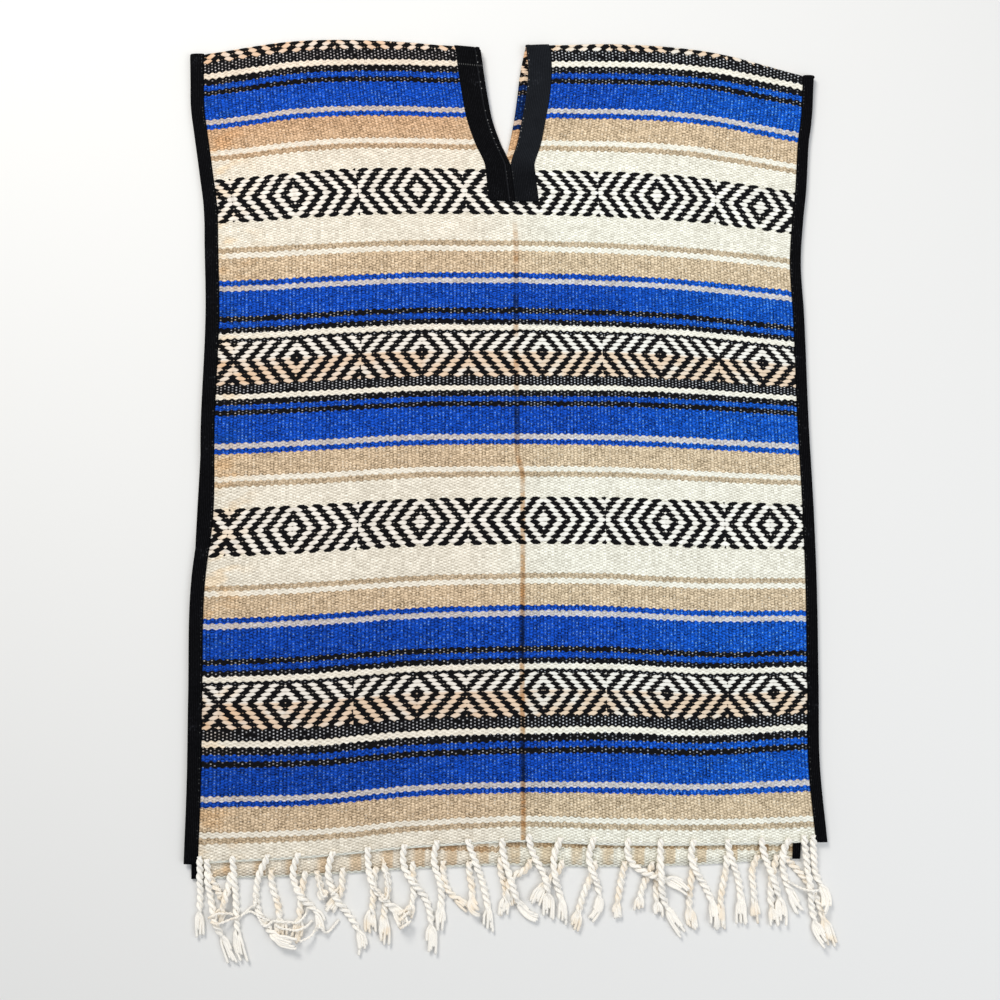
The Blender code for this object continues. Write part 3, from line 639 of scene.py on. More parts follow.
def lozenge_floats(graph, cloth):
    """Where the two kinds of lozenge band lie, and the float at each point of them."""
    from_light = repeat_of(cloth.pick, LIGHT_BAND[0])
    from_dark = repeat_of(cloth.pick, None) - DARK_BAND[1]
    in_light = (graph.between(cloth.down, *LIGHT_SHOWN)
                * graph.between(abs(from_light), 0.0, LIGHT_BAND[1]))
    in_dark = graph.between(cloth.turn, DARK_BAND[0], DARK_BAND[2])
    rows = []
    for middle, (above, below) in ((from_light, LIGHT_ROWS), (from_dark, DARK_ROWS)):
        beyond = graph.math("GREATER_THAN", middle, 0.0)
        rows.append(middle * (1 / above + beyond * (1 / below - 1 / above)))
    row = rows[0] * in_light + rows[1] * (1.0 - in_light)
    across = cloth.column * (WIDTH_MM / COLUMNS)
    middles = []
    before = -LOZENGES[0][0]
    left, span = LOZENGE_SPAN
    for own, floats in LOZENGES:
        start = (before + own) / 2 + floats * FLOAT_MM / 2
        middles.append((start / WIDTH_MM, ((own + left) / span,) * 3 + (1.0,)))
        before = own
    middle = graph.ramp(across / WIDTH_MM, middles)[0]
    middle = graph.split(middle)[0] * span - left
    cloth.floats = graph.use(make_lozenges(), {
        "Far": abs(across - middle) * (COLUMNS / WIDTH_MM),
        "Row": row,
        "Turn": DARK_TURN + in_light * (LIGHT_TURN - DARK_TURN),
        "End": NO_END + in_light * (LIGHT_END - NO_END)})
    cloth.band = graph.most(in_dark, in_light * (1.0 - cloth.floats["Beyond"]))
    cloth.lower_dark = (from_dark, in_dark)


def band_colour(graph, cloth):
    """Black and white floats, which change places inside the cloth, with warp specks.

    The lower half of a dark band has patches of peach among its white floats.
    """
    dark = abs(cloth.floats["Dark"] - cloth.inner)
    from_dark, in_dark = cloth.lower_dark
    lower = graph.step(from_dark, -0.6, 0.4) * in_dark
    cloth.patches = graph.noise(graph.join(cloth.column, cloth.pick * 1.4), 0.11, 3.0)
    pale = graph.mix(lower * graph.step(cloth.patches, 0.25, 0.55), FLOAT_WHITE, PEACH)
    narrow = graph.step(abs(cloth.column.fraction() - 0.5), 0.26, 0.12)
    speck = narrow * graph.step(cloth.weave["Speck"], 0.38, 0.50)
    on_pale = speck * cloth.floats["Odd row"] * (1.0 - dark)
    on_pale = on_pale * graph.step(cloth.floats["Height"], 0.5, 0.1)
    on_dark = speck * (1.0 - cloth.floats["Odd row"]) * dark
    on_dark = on_dark * graph.step(cloth.floats["Height"], 0.5, 0.1)
    dark = graph.most(dark * (1.0 - on_dark), on_pale)
    return graph.mix(dark, pale, BLACK)


def warp_dots(graph, cloth):
    """Share and colour of the warp that peeps through between the floats of the stripes."""
    dots = graph.split(graph.ramp(cloth.light_left, WARP_DOTS)[0])
    runs = 0.55 + graph.random(cloth.column.whole(), 0.2) * 0.7
    dotted = graph.between(cloth.turn, DARK_BAND[2], DOTTED_END)
    runs = runs * (0.35 + cloth.patches * 1.10)
    share = graph.most(dots[0] * runs, dotted * 0.93)
    seen = graph.step(cloth.weave["Speck"] + share, 0.97, 1.15)
    uneven = 0.45 + (cloth.weave["Speck"] * 37.0).fraction() * 0.55
    strength = (dots[1] + dotted * 0.25) * uneven
    dot = cloth.weave["Dot"] * seen * strength * (1.0 - cloth.band)
    return dot, graph.mix(dots[2], WHITE, GLINT)


def float_shade(graph, cloth):
    """Brightness: painted shade in the gaps between floats and on the lines between columns,
    mottled yarn, patches.
    """
    fleck = graph.noise(graph.join(cloth.column * 2.3, cloth.pick * 1.5), 1.0, 1.0)
    depth = 1.0 - cloth.light_left
    between = 1.0 - cloth.weave["Checker"]
    gap = (between * FLOAT_GAP + (0.56 - fleck) * MOTTLE) * depth
    pale_share = graph.step(cloth.light_left, 0.60, 0.68) * PALE_GAP
    gap = gap + (between - 0.8) * pale_share
    lines = graph.math("COSINE", cloth.column * (2 * math.pi))
    lines = lines * graph.most(depth - 0.22, 0.0)
    gap = gap + lines * COLUMN_LINE
    hollow = (1.0 - cloth.floats["Height"]) * LOZENGE_GAP
    gap = gap * (1.0 - cloth.band) + hollow * cloth.band
    ribs = graph.random(cloth.column.whole(), 0.5)
    tone = (cloth.weave["Tone"] - 0.5) * (0.05 + depth * 0.50)
    tone = tone + (ribs - 0.5) * 0.06
    tone = tone + (cloth.patches - 0.5) * 0.16
    return graph.most(1.0 - gap + tone, DARKEST)


def painted_light_and_tone(graph, cloth, colour):
    """Painted light and shade on the cloth: blue that changes across it, brighter and cooler to
    the right, pale yarn that is yellower and warmer in places, and a shaded inside.
    """
    across, down = cloth.across, cloth.down
    # painted cool sheen makes the blue brighter towards the right edge; the blue is duller low on
    # the left
    right_sheen = graph.step(across, 95.0, 150.0) * cloth.deep
    colour = graph.tint(colour, right_sheen * 0.7, BLUE_RIGHT_SHEEN)
    dull = graph.step(across, 95.0, 30.0) * graph.step(down, 110.0, 220.0)
    colour = graph.tint(colour, dull * cloth.deep, DULL_BLUE)
    # painted warm light: pale yarn is yellower on the left half, and warm near the shoulders
    shallow = 1.0 - cloth.deep
    left_half = graph.step(across, 96.0, 66.0)
    colour = graph.tint(colour, left_half * shallow, LEFT_WARM_LIGHT)
    warm = graph.step(down, 4.0, -44.0) * (0.25 + graph.step(down, -130.0, -70.0) * 0.75)
    warm = warm * (0.3 + left_half * 0.7)
    warm = warm * (0.35 + graph.step(cloth.light_left, 0.58, 0.52) * 0.65)
    colour = graph.tint(colour, warm * shallow, SHOULDER_WARM_LIGHT)
    # painted shade: the inside of the cloth is browner, as far as it shows behind the neck
    inside = cloth.inner * graph.step(down, -300.0, -200.0)
    return graph.tint(colour, inside, INSIDE_SHADE_BROWN)


def add_crease_shade(graph, cloth, colour):
    """Painted shade along the crease down the middle of the front, soft and brownish, fainter in
    places.
    """
    down = cloth.down
    bent = graph.step(down, *CREASE_BEND) * (CREASE[1] - CREASE[0])
    beside = abs(cloth.across - CREASE[0] - bent)
    crease = graph.step(beside, 1.05, 0.35) * graph.step(down, 12.0, 18.0)
    patchiness = graph.noise(graph.join(0.0, down), 0.13, 2.0) + graph.step(down, 90.0, 150.0) * 0.22
    crease = crease * (graph.step(patchiness, 0.20, 0.75) * 0.95)
    crease = crease * (1.0 - cloth.inner)
    crease = crease * (0.75 + cloth.weave["Tone"] * 0.40)
    colour = graph.tint(colour, crease, CREASE_SHADE_BROWN)
    return graph.tint(colour, crease * cloth.deep, CREASE_SHADE_ON_BLUE)


def finish_edges(graph, cloth, colour):
    """Stain by the left binding, shade between the cords, and the hems' white last pick."""
    stain = graph.step(cloth.across, 15.0, 3.0) * graph.step(cloth.patches, 0.46, 0.62)
    colour = graph.tint(colour, stain * 0.5, STAIN)
    behind = graph.step(cloth.down, HEM_SHADE[1], HEM_SHADE[0])
    turn_on = ((cloth.column - CORD_START) / CORD_PITCH).fraction()
    tucked = graph.step(turn_on, 0.50, 0.74) * graph.step(turn_on, 1.02, 0.94)
    tucked = tucked * behind * graph.step(cloth.patches, 0.25, 0.45)
    colour = graph.tint(colour, tucked * 0.8, CORD_SHADE)
    hem = graph.attribute("hem") + cloth.weave["Lift"] * LIFT_TO_METRES
    return graph.mix(graph.step(hem, LAST_PICK, LAST_PICK * 0.7), colour, WHITE)


def make_cloth_material():
    """Stripes by pick, lozenge bands over them, warp dots, mottle, wear and the crease."""
    material, graph, shader = new_material("striped_weave")
    cloth = SimpleNamespace()
    cloth.across, cloth.down = graph.uv("cloth")
    waver = graph.noise(graph.join(cloth.across, cloth.down * 0.6), 0.16, 2.0) - 0.5
    cloth.column = cloth.across + waver * WAVER[0]
    cloth.pick = cloth.down + waver * WAVER[1]
    cloth.weave = graph.use(make_lattice(), {"Column": cloth.column, "Pick": cloth.pick})
    cloth.turn = repeat_of(cloth.pick + cloth.weave["Lift"], None)
    stops = [(start / REPEAT, colour) for start, colour in STRIPES]
    stripe, cloth.light_left = graph.ramp(cloth.turn / REPEAT, stops)
    lozenge_floats(graph, cloth)
    cloth.inner = graph.attribute("inner")
    colour = graph.mix(cloth.band, stripe, band_colour(graph, cloth))
    dot, dot_colour = warp_dots(graph, cloth)
    shade = float_shade(graph, cloth)
    cloth.deep = graph.step(cloth.light_left, 0.40, 0.35)
    # painted shade: the inside's deep blue is darker
    shade = shade * (1.0 - cloth.inner * cloth.deep * 0.6)
    # light that comes back out of the gaps of pale yarn is warmer
    brown = graph.step(cloth.light_left, 0.38, 0.44) * (1.0 - shade)
    colour = graph.tint(colour, 1.0, graph.join(shade, shade * (1.0 - brown * 0.08),
                                                shade * (1.0 - brown * 0.20)))
    colour = graph.mix(dot, colour, dot_colour)
    for change in (painted_light_and_tone, add_crease_shade, finish_edges):
        colour = change(graph, cloth, colour)
    height = cloth.weave["Checker"] * (1.0 - cloth.band) + cloth.floats["Height"] * cloth.band
    fibre = graph.noise(graph.join(cloth.column * 6.0, cloth.pick * 6.0), 1.0, 2.0)
    finish_material(graph, shader, colour, 0.92, 0.10, height + fibre * 0.25, (0.0004, 0.7))
    return material


# -------------------------------------------------------------------- making meshes
def mesh_object(name, points, faces, material, uv=None, uv_name="UVMap"):
    """Smooth mesh from arrays of points and quads, with one UV pair for each point."""
    mesh = bpy.data.meshes.new(name)
    mesh.vertices.add(len(points))
    mesh.vertices.foreach_set("co", np.ascontiguousarray(points, np.float32).ravel())
    mesh.loops.add(faces.size)
    mesh.loops.foreach_set("vertex_index", faces.ravel().astype(np.int32))
    mesh.polygons.add(len(faces))
    mesh.polygons.foreach_set("loop_start", np.arange(0, faces.size, 4, dtype=np.int32))
    mesh.update(calc_edges=True)
    mesh.validate()
    mesh.polygons.foreach_set("use_smooth", np.ones(len(mesh.polygons), bool))
    if uv is not None:
        layer = mesh.uv_layers.new(name=uv_name)
        layer.data.foreach_set("uv", uv[faces.ravel()].astype(np.float32).ravel())
    made = bpy.data.objects.new(name, mesh)
    bpy.context.scene.collection.objects.link(made)
    mesh.materials.append(material)
    return made


def closed_tube(rings, ends, round_it, along):
    """Points, quads and UV of a tube through rings, closed round a point at each end.

    Rings are joined point by point, the last one of a ring with its first.  Each cap is
    a fan of quads, so a ring has an even number of points.  UV is the given places round
    a ring and along the tube.
    """
    count, around = rings.shape[:2]
    r = np.arange(count - 1)[:, None] * around
    c = np.arange(around)[None, :]
    after = (c + 1) % around
    sides = np.stack([r + c, r + after, r + around + after, r + around + c], axis=-1)
    pair = np.arange(0, around, 2)
    cap = np.stack([pair, (pair + 1) % around, (pair + 2) % around], -1)
    tip = np.full((len(pair), 1), count * around)
    first = np.concatenate([cap[:, ::-1], tip], axis=1)
    last = np.concatenate([cap + (count - 1) * around, tip + 1], axis=1)
    uv = np.stack(np.broadcast_arrays(round_it[None, :], along[:, None]), -1).reshape(-1, 2)
    return (np.concatenate([rings.reshape(-1, 3), ends]),
            np.concatenate([sides.reshape(-1, 4), first, last]),
            np.concatenate([uv, [[0.0, 0.0], [0.0, along[-1]]]]))


def distance_along(path):
    """Distance of each point of a path from its first."""
    step = np.linalg.norm(np.diff(path, axis=0), axis=1)
    return np.concatenate([[0.0], np.cumsum(step)])


def paint(piece, name, values):
    """Float attribute of a piece, one value for each point."""
    layer = piece.data.attributes.new(name, "FLOAT", "POINT")
    layer.data.foreach_set("value", np.ascontiguousarray(values, np.float32))


def grid_normals(points):
    """Unit normals of a grid of points, across x along."""
    across = np.gradient(points, axis=1)
    along = np.gradient(points, axis=0)
    normal = np.cross(across, along)
    return normal / np.linalg.norm(normal, axis=-1, keepdims=True)


# ------------------------------------------------------------------------ the cloth
# Pick numbers of lines across the front, by distance from the top line.
PICK_DOWN = (0.0093, 0.0481, 0.0907, 0.1320, 0.1622, 0.2137, 0.2478, 0.3014, 0.3304, 0.3587,
             0.4148, 0.4498, 0.4941, 0.5313, 0.5600, 0.6101, 0.6472, 0.6962, 0.7292, 0.7566,
             0.8104, 0.8525, 0.8944, 0.9330, 0.9560)
PICK_NUMBER = (-61, -48, -33, -19, -9, 9, 21, 39, 50, 59, 78, 91, 106, 120, 130, 148, 160, 178,
               189, 198, 217, 230, 245, 259, 267)
PICK_PITCH = 0.002856
# How far down from the even grid the front's picks lie, in millimetres, at five even
# stations across, for each pick number.
DRIFT = {
    -50: (1.5, 0.7, 1.7, 0.9, 2.1),
    -27: (0.5, -2.2, 0.5, -0.4, 3.4),
    24: (0.9, 0.1, 1.4, 0.4, -1.3),
    54: (0.9, -1.2, 0.3, -0.6, 2.1),
    87: (-0.7, -0.3, -0.2, -1.0, 0.3),
    112: (-2.4, -1.8, -1.3, 0.0, 2.2),
    139: (0.0, 0.0, 0.0, 0.0, 0.0),
    162: (-2.0, -1.8, -1.2, -0.1, -1.7),
    194: (-0.8, -1.2, -0.3, 1.9, 1.9),
    226: (0.4, 0.7, 0.3, 0.9, -1.7),
    251: (-1.7, 0.0, 0.7, 1.3, 1.7),
}
DRIFT_FROM = (-0.010, 0.03)
BACK_TAKEN = 0.0097       # cloth taken up behind the shoulders over TAKEN_RUN
TAKEN_RUN = 0.045
LET_OUT = (0.3, 0.6)      # and let out again from here down, over this run
FRONT_LINES, FOLD_LINES, BACK_LINES = 190, 11, 84
HALF_COLUMNS = 64
JOINED = 0.0032           # the halves meet where their middle columns are nearer than this
# How far the cloth runs on into each side binding.
EDGE_TURN = {side: width - STACK - PINCHED_WALL / 2 for side, width in BINDING_WIDTH.items()}
ON_FLOOR = 0.0001         # lowest height of the cloth and the tapes, pressed on the floor


def pick_at(down):
    """Pick number at a place down the cloth, evenly spaced beyond the table."""
    inside = np.interp(down, PICK_DOWN, PICK_NUMBER)
    return inside + np.minimum(down - PICK_DOWN[0], 0.0) / PICK_PITCH


def drifted_pick(across, down):
    """Pick number on the front or the back, with the uneven beat of the front."""
    pick = pick_at(down)
    stations = smooth_through(list(DRIFT), np.array(list(DRIFT.values())), pick) / 1000
    at = np.clip(across / (2 * HALF_WIDTH), 0.0, 1.0) * 4.0
    index = np.clip(at.astype(int), 0, 3)
    low, high = taken(stations, index), taken(stations, index + 1)
    drift = (low + (high - low) * ease(at - index)) * ramp_from(down, DRIFT_FROM)
    behind = ease(-down / TAKEN_RUN) * (1.0 - ramp_from(-down, LET_OUT))
    return pick_at(down - drift - BACK_TAKEN * behind)


def cloth_lines():
    """(panel, along) of every line across, from the front hem to the back hem."""
    front = 1.0 - np.linspace(0.0, 1.0, FRONT_LINES)
    fold = np.linspace(0.0, math.pi, FOLD_LINES + 1)[1:-1]
    back = np.linspace(0.0, 1.0, BACK_LINES)
    return (("front", front), ("fold", fold), ("back", back))


def half_sheet(side):
    """One half of the cloth as grids: middle surface, reach to the face, weave coordinates
    and distance from the nearer hem.

    Rows run from the front hem to the back hem, columns from left to right.  The wall is
    thinner inside the binding, and reach is half of it along the surface's normal.
    """
    turn = EDGE_TURN[side]
    share = np.concatenate([np.zeros(2), np.linspace(0.0, 1.0, HALF_COLUMNS)])
    shift = np.concatenate([[-turn, -turn / 2], np.zeros(HALF_COLUMNS)])
    wall = np.concatenate([[PINCHED_WALL] * 3, np.full(HALF_COLUMNS - 1, CLOTH_WALL)])
    found = [cloth_point(panel, side, along[:, None], share[None, :], shift[None, :])
             for panel, along in cloth_lines()]
    x, y, z, across, down = (np.concatenate(parts) for parts in zip(*found))
    weave = np.stack([across / (2 * HALF_WIDTH) * COLUMNS, drifted_pick(across, down)], -1)
    points = np.stack([x, y, z], axis=-1)
    upper = np.arange(len(points)) < FRONT_LINES
    hem = np.abs(y - np.where(upper[:, None], y[:1], y[-1:]))
    if side == "right":
        points, weave, wall, hem = points[:, ::-1], weave[:, ::-1], wall[::-1], hem[:, ::-1]
    return points, grid_normals(points) * wall[None, :, None] / 2, weave, hem


def pressed(points):
    """The same points, with none lower than cloth that is pressed flat on the floor."""
    return np.concatenate([points[..., :2], np.maximum(points[..., 2:], ON_FLOOR)], axis=-1)


def open_edges(quads, count):
    """Directed edges that only one quad uses, of quads over `count` points."""
    start, end = quads.ravel(), np.roll(quads, -1, axis=1).ravel()
    alone = ~np.isin(start * count + end, end * count + start)
    return start[alone], end[alone]


def make_cloth(material):
    """One shell over the shoulders whose two halves join below the slit, front and back."""
    left, right = half_sheet("left"), half_sheet("right")
    rows, columns = left[0].shape[:2]
    index = np.arange(rows * columns).reshape(rows, columns)
    beside = index + rows * columns
    apart = np.linalg.norm(left[0][:, -1, :2] - right[0][:, 0, :2], axis=1)
    front_end = FRONT_LINES - 1 - int(np.argmax(apart[:FRONT_LINES][::-1] < JOINED))
    back_end = rows - int(np.argmax(apart[::-1] > JOINED))
    joined = np.r_[0:front_end + 1, back_end:rows]
    for one, other in zip(left, right):
        one[joined, -1] = (one[joined, -1] + other[joined, 0]) / 2
    beside[joined, 0] = index[joined, -1]
    quads = np.concatenate([np.stack([grid[:-1, :-1], grid[:-1, 1:], grid[1:, 1:],
                                      grid[1:, :-1]], -1).reshape(-1, 4)
                            for grid in (index, beside)])
    kept, quads = np.unique(quads, return_inverse=True)
    quads = quads.reshape(-1, 4)
    points, reach, weave, hem = (np.concatenate([one.reshape(rows * columns, -1),
                                                 other.reshape(rows * columns, -1)])[kept]
                                 for one, other in zip(left, right))
    count = len(kept)
    start, end = open_edges(quads, count)
    rim = np.stack([end, start, start + count, end + count], -1)
    shell = pressed(np.concatenate([points + reach, points - reach]))
    cloth = mesh_object("serape_cloth", shell,
                        np.concatenate([quads, quads[:, ::-1] + count, rim]), material,
                        np.concatenate([weave, weave]), "cloth")
    paint(cloth, "inner", np.repeat([0.0, 1.0], count))
    paint(cloth, "hem", np.tile(hem.ravel(), 2))
    return cloth


# ------------------------------------------------------------------------ the tapes
BINDING_PUFF = 0.0004     # the outer leaf's bulge
INNER_SHORT = 0.003       # the inner leaf ends this far before the outer one
NECK_INSET = 0.0003       # the neck tape ends this far before the slit's edge
NECK_ARCH = 0.0002
LIP_WIDTH, LIP_RISE = 0.0052, 0.0005     # the left neck tape's rolled lip
LIP_CREASE = (0.0007, 0.0004)    # half width and depth of the crease beside it
EDGE_SWELL = (0.003, 0.002, 0.0004)      # right neck tape: from the slit's edge, half width, rise


def tape_rings(side, share, profile, lines):
    """Closed section carried along one edge of the cloth, front, fold and back.

    profile lists (shift towards the slit, distance out of the cloth's middle), and lines
    the (panel, along) of the rings.  A ring's points are the cloth's own at each shift,
    moved out square to the panel, or on the fold along the half circle's radius.
    """
    shift, out = np.array(profile).T
    rings = []
    for panel, along in lines:
        x, y, z, _, _ = cloth_point(panel, side, along[:, None], np.full((1, len(out)), share),
                                    shift[None, :])
        if panel == "fold":
            normal = np.stack([0 * along, np.sin(along), np.cos(along)], -1)
        else:
            normal = np.tile((0.0, 0.0, 1.0 if panel == "front" else -1.0), (len(along), 1))
        rings.append(np.stack([x, y, z], -1) + out[None, :, None] * normal[:, None, :])
    return pressed(np.concatenate(rings))


def outline_of(centre_line, half):
    """Closed section round an open centre line, `half` thick to each side, round-ended."""
    line = np.asarray(centre_line, float)
    along = np.gradient(line, axis=0)
    along /= np.linalg.norm(along, axis=1, keepdims=True)
    side = np.stack([-along[:, 1], along[:, 0]], -1)
    start = line[0] - along[0] * half * ROUND_END
    end = line[-1] + along[-1] * half * ROUND_END
    return np.concatenate([[start], line + side * half, [end], (line - side * half)[::-1]])


def add_tape(name, side, share, profile, lines, material):
    """Tape of a closed section; UV is the way towards the slit and along the tape."""
    rings = tape_rings(side, share, profile, lines)
    shift = np.array(profile)[:, 0]
    if side == "right":
        rings, shift = rings[:, ::-1], shift[::-1]
    middles = rings.mean(axis=1)
    points, faces, uv = closed_tube(rings, middles[[0, -1]], shift, distance_along(middles))
    tape = mesh_object(name, points, faces, material, uv)
    paint(tape, "neck", np.full(len(points), float(name.startswith("neck"))))
    paint(tape, "lighter_tape", np.full(len(points), float(name == "neck_tape_right")))
    return tape


def binding_section(width):
    """U round the cloth's edge: puffed outer leaf, round turn and a shorter inner leaf."""
    radius = PINCHED_WALL / 2 + SEAM_GAP + TAPE_WALL / 2
    centre = width - TAPE_WALL / 2 - radius
    leaf = np.linspace(0.0, 1.0, 8)
    puff = BINDING_PUFF * np.sin(math.pi * leaf) ** 0.5
    top = np.stack([-centre * leaf, radius + puff], -1)
    turn = np.radians(np.linspace(75, -75, 9))
    bend = np.stack([-centre - radius * np.cos(turn), radius * np.sin(turn)], -1)
    under = np.stack([-centre + (centre - INNER_SHORT) * leaf[::2], np.full(4, -radius)], -1)
    return outline_of(np.concatenate([top, bend, under]), TAPE_WALL / 2)


def neck_section(side):
    """Flat tape along the slit, a little arched; the left one ends in a rolled lip.

    The arch and the lip are half sine waves, with a narrow bell-shaped crease beside the
    lip, and the right tape swells in a bell near its edge.
    """
    width = NECK_TAPE_WIDTH[side]
    out = CLOTH_WALL / 2 + SEAM_GAP + TAPE_WALL / 2
    across = np.linspace(-width, -NECK_INSET, 33)
    rise = NECK_ARCH * np.sin(math.pi * np.clip((across + width) / width, 0, 1))
    if side == "left":
        lip = np.clip((across + LIP_WIDTH) / LIP_WIDTH, 0.0, 1.0)
        half_width, depth = LIP_CREASE
        crease = np.exp(-((across + LIP_WIDTH + NECK_INSET) / half_width) ** 2)
        rise = rise + LIP_RISE * np.sin(math.pi * lip) - depth * crease
    else:
        inward, half_width, height = EDGE_SWELL
        rise = rise + height * np.exp(-((across + inward) / half_width) ** 2)
    return outline_of(np.stack([across, out + rise], -1), TAPE_WALL / 2)


def neck_lines(side):
    """Rings of a neck tape: down the front past the slit, over the shoulder, down the back."""
    fold_y, start = fold_place(side, np.ones(1))
    front_end = float((FRONT_TAPE_END - start[0]) / (FRONT_HEM - start[0]))
    back_start = float((TOP_LINE - fold_y + bow_at("back", side, np.zeros(1), np.ones(1)))[0])
    back_end = (BACK_TAPE_END - back_start) / (BACK_HEM - back_start)
    fold = np.linspace(0.0, math.pi, FOLD_LINES + 1)[1:-1]
    return (("front", np.linspace(front_end, 0.0, 90)), ("fold", fold),
            ("back", np.linspace(0.0, back_end, 60)))


SEAM_IN = 0.0016          # from the tape's inner edge to its line of stitches
LIP_GROOVE = 0.0056       # the same on the left neck tape, beside its rolled lip
STITCH, LAP_STITCH = 0.0040, 0.0026
LAP_AT = 0.1725           # distance up the left neck tape
RIB, WEFT = 0.0021, 0.0011       # pitch of the tape's ribs and of its weft


def make_tape_material():
    """Black tape with ribs along it, faint stitches, a little lint where it is rubbed, painted
    highlight on the ribs, and a lighter right neck tape.
    """
    material, graph, shader = new_material("black_tape")
    across, along = graph.uv("UVMap")
    ribs = graph.math("SINE", across * (2 * math.pi / RIB))
    weft = graph.math("SINE", along * (2 * math.pi / WEFT))
    fuzz = graph.noise(graph.join(across * 900.0, along * 300.0), 1.0, 3.0)
    patchiness = graph.noise(graph.join(across, along), 45.0, 3.0)
    neck, lighter_tape = graph.attribute("neck"), graph.attribute("lighter_tape")
    left_neck = neck - lighter_tape
    # a line of short stitches near the tape's edge, or in the groove beside the rolled lip
    line = SEAM_IN + left_neck * (LIP_GROOVE - SEAM_IN)
    edge = graph.step(abs(across + line), 0.0007, 0.0003)
    place = along / STITCH
    stitch = edge * graph.math("LESS_THAN", place.fraction(), 0.30)
    seen = graph.step(graph.random(place.whole(), 0.0), 0.40, 0.95)
    # seen best on the neck's upper part, faint on the bindings and below the slit
    stitch = stitch * seen * (0.12 + neck * graph.step(along, 0.045, 0.060) * 0.50)
    # the left tape is lapped near the shoulder, with a faint row of stitches across it
    lap = graph.step(abs(along - LAP_AT), 0.0011, 0.0005) * left_neck
    lap_beat = (across / LAP_STITCH).fraction()
    stitch = graph.most(stitch, lap * graph.math("LESS_THAN", lap_beat, 0.4) * 0.13)
    # the right neck tape is lighter, more so past the first few centimetres along it
    lighter_share = lighter_tape * (0.35 + graph.step(along, 0.030, 0.060) * 0.65)
    base = graph.mix(lighter_share, TAPE, PALER_TAPE)
    groove = graph.step(abs(across + (LIP_GROOVE + 0.0009)), 0.0007, 0.0002)
    # painted highlight on the ribs' crests, and a lighter grey line beside the left tape's groove
    highlight_and_groove = graph.step(ribs, 0.2, 1.0) * graph.step(fuzz, 0.40, 0.60)
    highlight_and_groove = graph.most(highlight_and_groove * 0.16, groove * left_neck * 0.55)
    base = graph.mix(highlight_and_groove, base, TAPE_HIGHLIGHT_GREY)
    # tone follows the patches and fuzz, and is lighter and darker across the ribs: painted
    # highlight and shade
    tone = 0.5 + (patchiness + fuzz) * 0.6 + ribs * 0.25
    colour = graph.tint(base, 1.0, graph.join(tone, tone, tone))
    lint = graph.step(fuzz * patchiness, 0.36, 0.46)
    colour = graph.mix(stitch, graph.mix(lint * 0.20, colour, LINT), THREAD)
    height = ribs * 0.45 + weft * 0.10 + (fuzz * 0.5 + stitch * 1.5)
    finish_material(graph, shader, colour, 0.85, 0.03, height, (0.0004, 0.8))
    return material


# ----------------------------------------------------------------------- the fringe
# X of each cord's root on the hem, its length, and its lean from straight down towards
# +X, in degrees, at the root, at each third and at the tip.
BACK_CORDS = (
    (-0.326, 0.030, 20, 30, 35, 45),
    (-0.304, 0.052, -5, -10, -20, -15),
    (-0.258, 0.071, 0, 20, 5, 5),
    (-0.220, 0.078, -15, -5, -5, -15),
    (-0.207, 0.030, 20, 15, 15, 45),
    (-0.178, 0.051, -5, -5, -40, -20),
    (-0.141, 0.072, -15, 0, -10, 15),
    (-0.132, 0.084, 30, -10, 0, 0),
    (-0.100, 0.060, 0, 5, -15, -20),
    (-0.066, 0.064, -5, 20, 55, 45),
    (-0.037, 0.056, -5, 15, -5, 90),
    (-0.002, 0.059, -5, 20, -10, -5),
    (0.031, 0.061, -20, -70, 15, 0),
    (0.067, 0.055, -20, -50, -35, -15),
    (0.104, 0.075, -15, -25, -15, -20),
    (0.137, 0.061, -15, -10, -10, 15),
    (0.168, 0.054, -20, -25, -15, -10),
    (0.176, 0.059, -5, -10, 5, 5),
    (0.215, 0.076, -10, -10, 5, 10),
    (0.251, 0.075, 0, -15, 0, 0),
    (0.285, 0.072, -35, 5, 0, 5),
    (0.307, 0.077, -15, -10, 5, 10),
    (0.315, 0.116, 50, 35, 15, 20),
)
FRONT_CORDS = (
    (-0.337, 0.087, 0, 0, 0, 5),
    (-0.329, 0.118, 0, 10, 25, 25),
    (-0.301, 0.114, 5, 5, 5, 25),
    (-0.262, 0.126, -35, 0, 45, 95),
    (-0.228, 0.095, -35, 20, 45, -10),
    (-0.189, 0.125, -30, 25, 35, -15),
    (-0.150, 0.100, -5, 20, 50, 5),
    (-0.109, 0.126, -20, 40, 10, -5),
    (-0.073, 0.098, -25, 20, -5, 5),
    (-0.038, 0.102, 20, 20, 10, 0),
    (0.000, 0.099, 0, 20, 20, 85),
    (0.030, 0.092, 10, 30, 5, -5),
    (0.065, 0.094, -35, 5, 15, -10),
    (0.102, 0.091, -35, 20, 5, -50),
    (0.141, 0.094, -20, 55, 75, 50),
    (0.177, 0.106, 0, 0, 25, 40),
    (0.214, 0.100, -25, 30, 20, -10),
    (0.252, 0.092, 10, 20, 0, 5),
    (0.290, 0.098, 10, 20, 15, -15),
    (0.320, 0.084, -35, 5, 20, 35),
    (0.337, 0.119, 10, 5, 10, 40),
    (0.347, 0.085, 5, 5, 30, -50),
)
CORD_RADIUS = 0.0030
ROOT_RADIUS = 0.0019
ROOT_RUN = 0.008
TIP_SWELL = 0.20          # the frayed end is wider by this share of the cord
FRAY_START = 0.6          # shares of the length: where a cord begins to fray
FRAY_RUN = 0.3
HEM_STRIP = 0.006
HEM_POINTS = 60           # along each half of a hem
CLIMB = 0.50              # steepest rise of a cord that lies over another
FLOOR_CLEARANCE = 0.0004
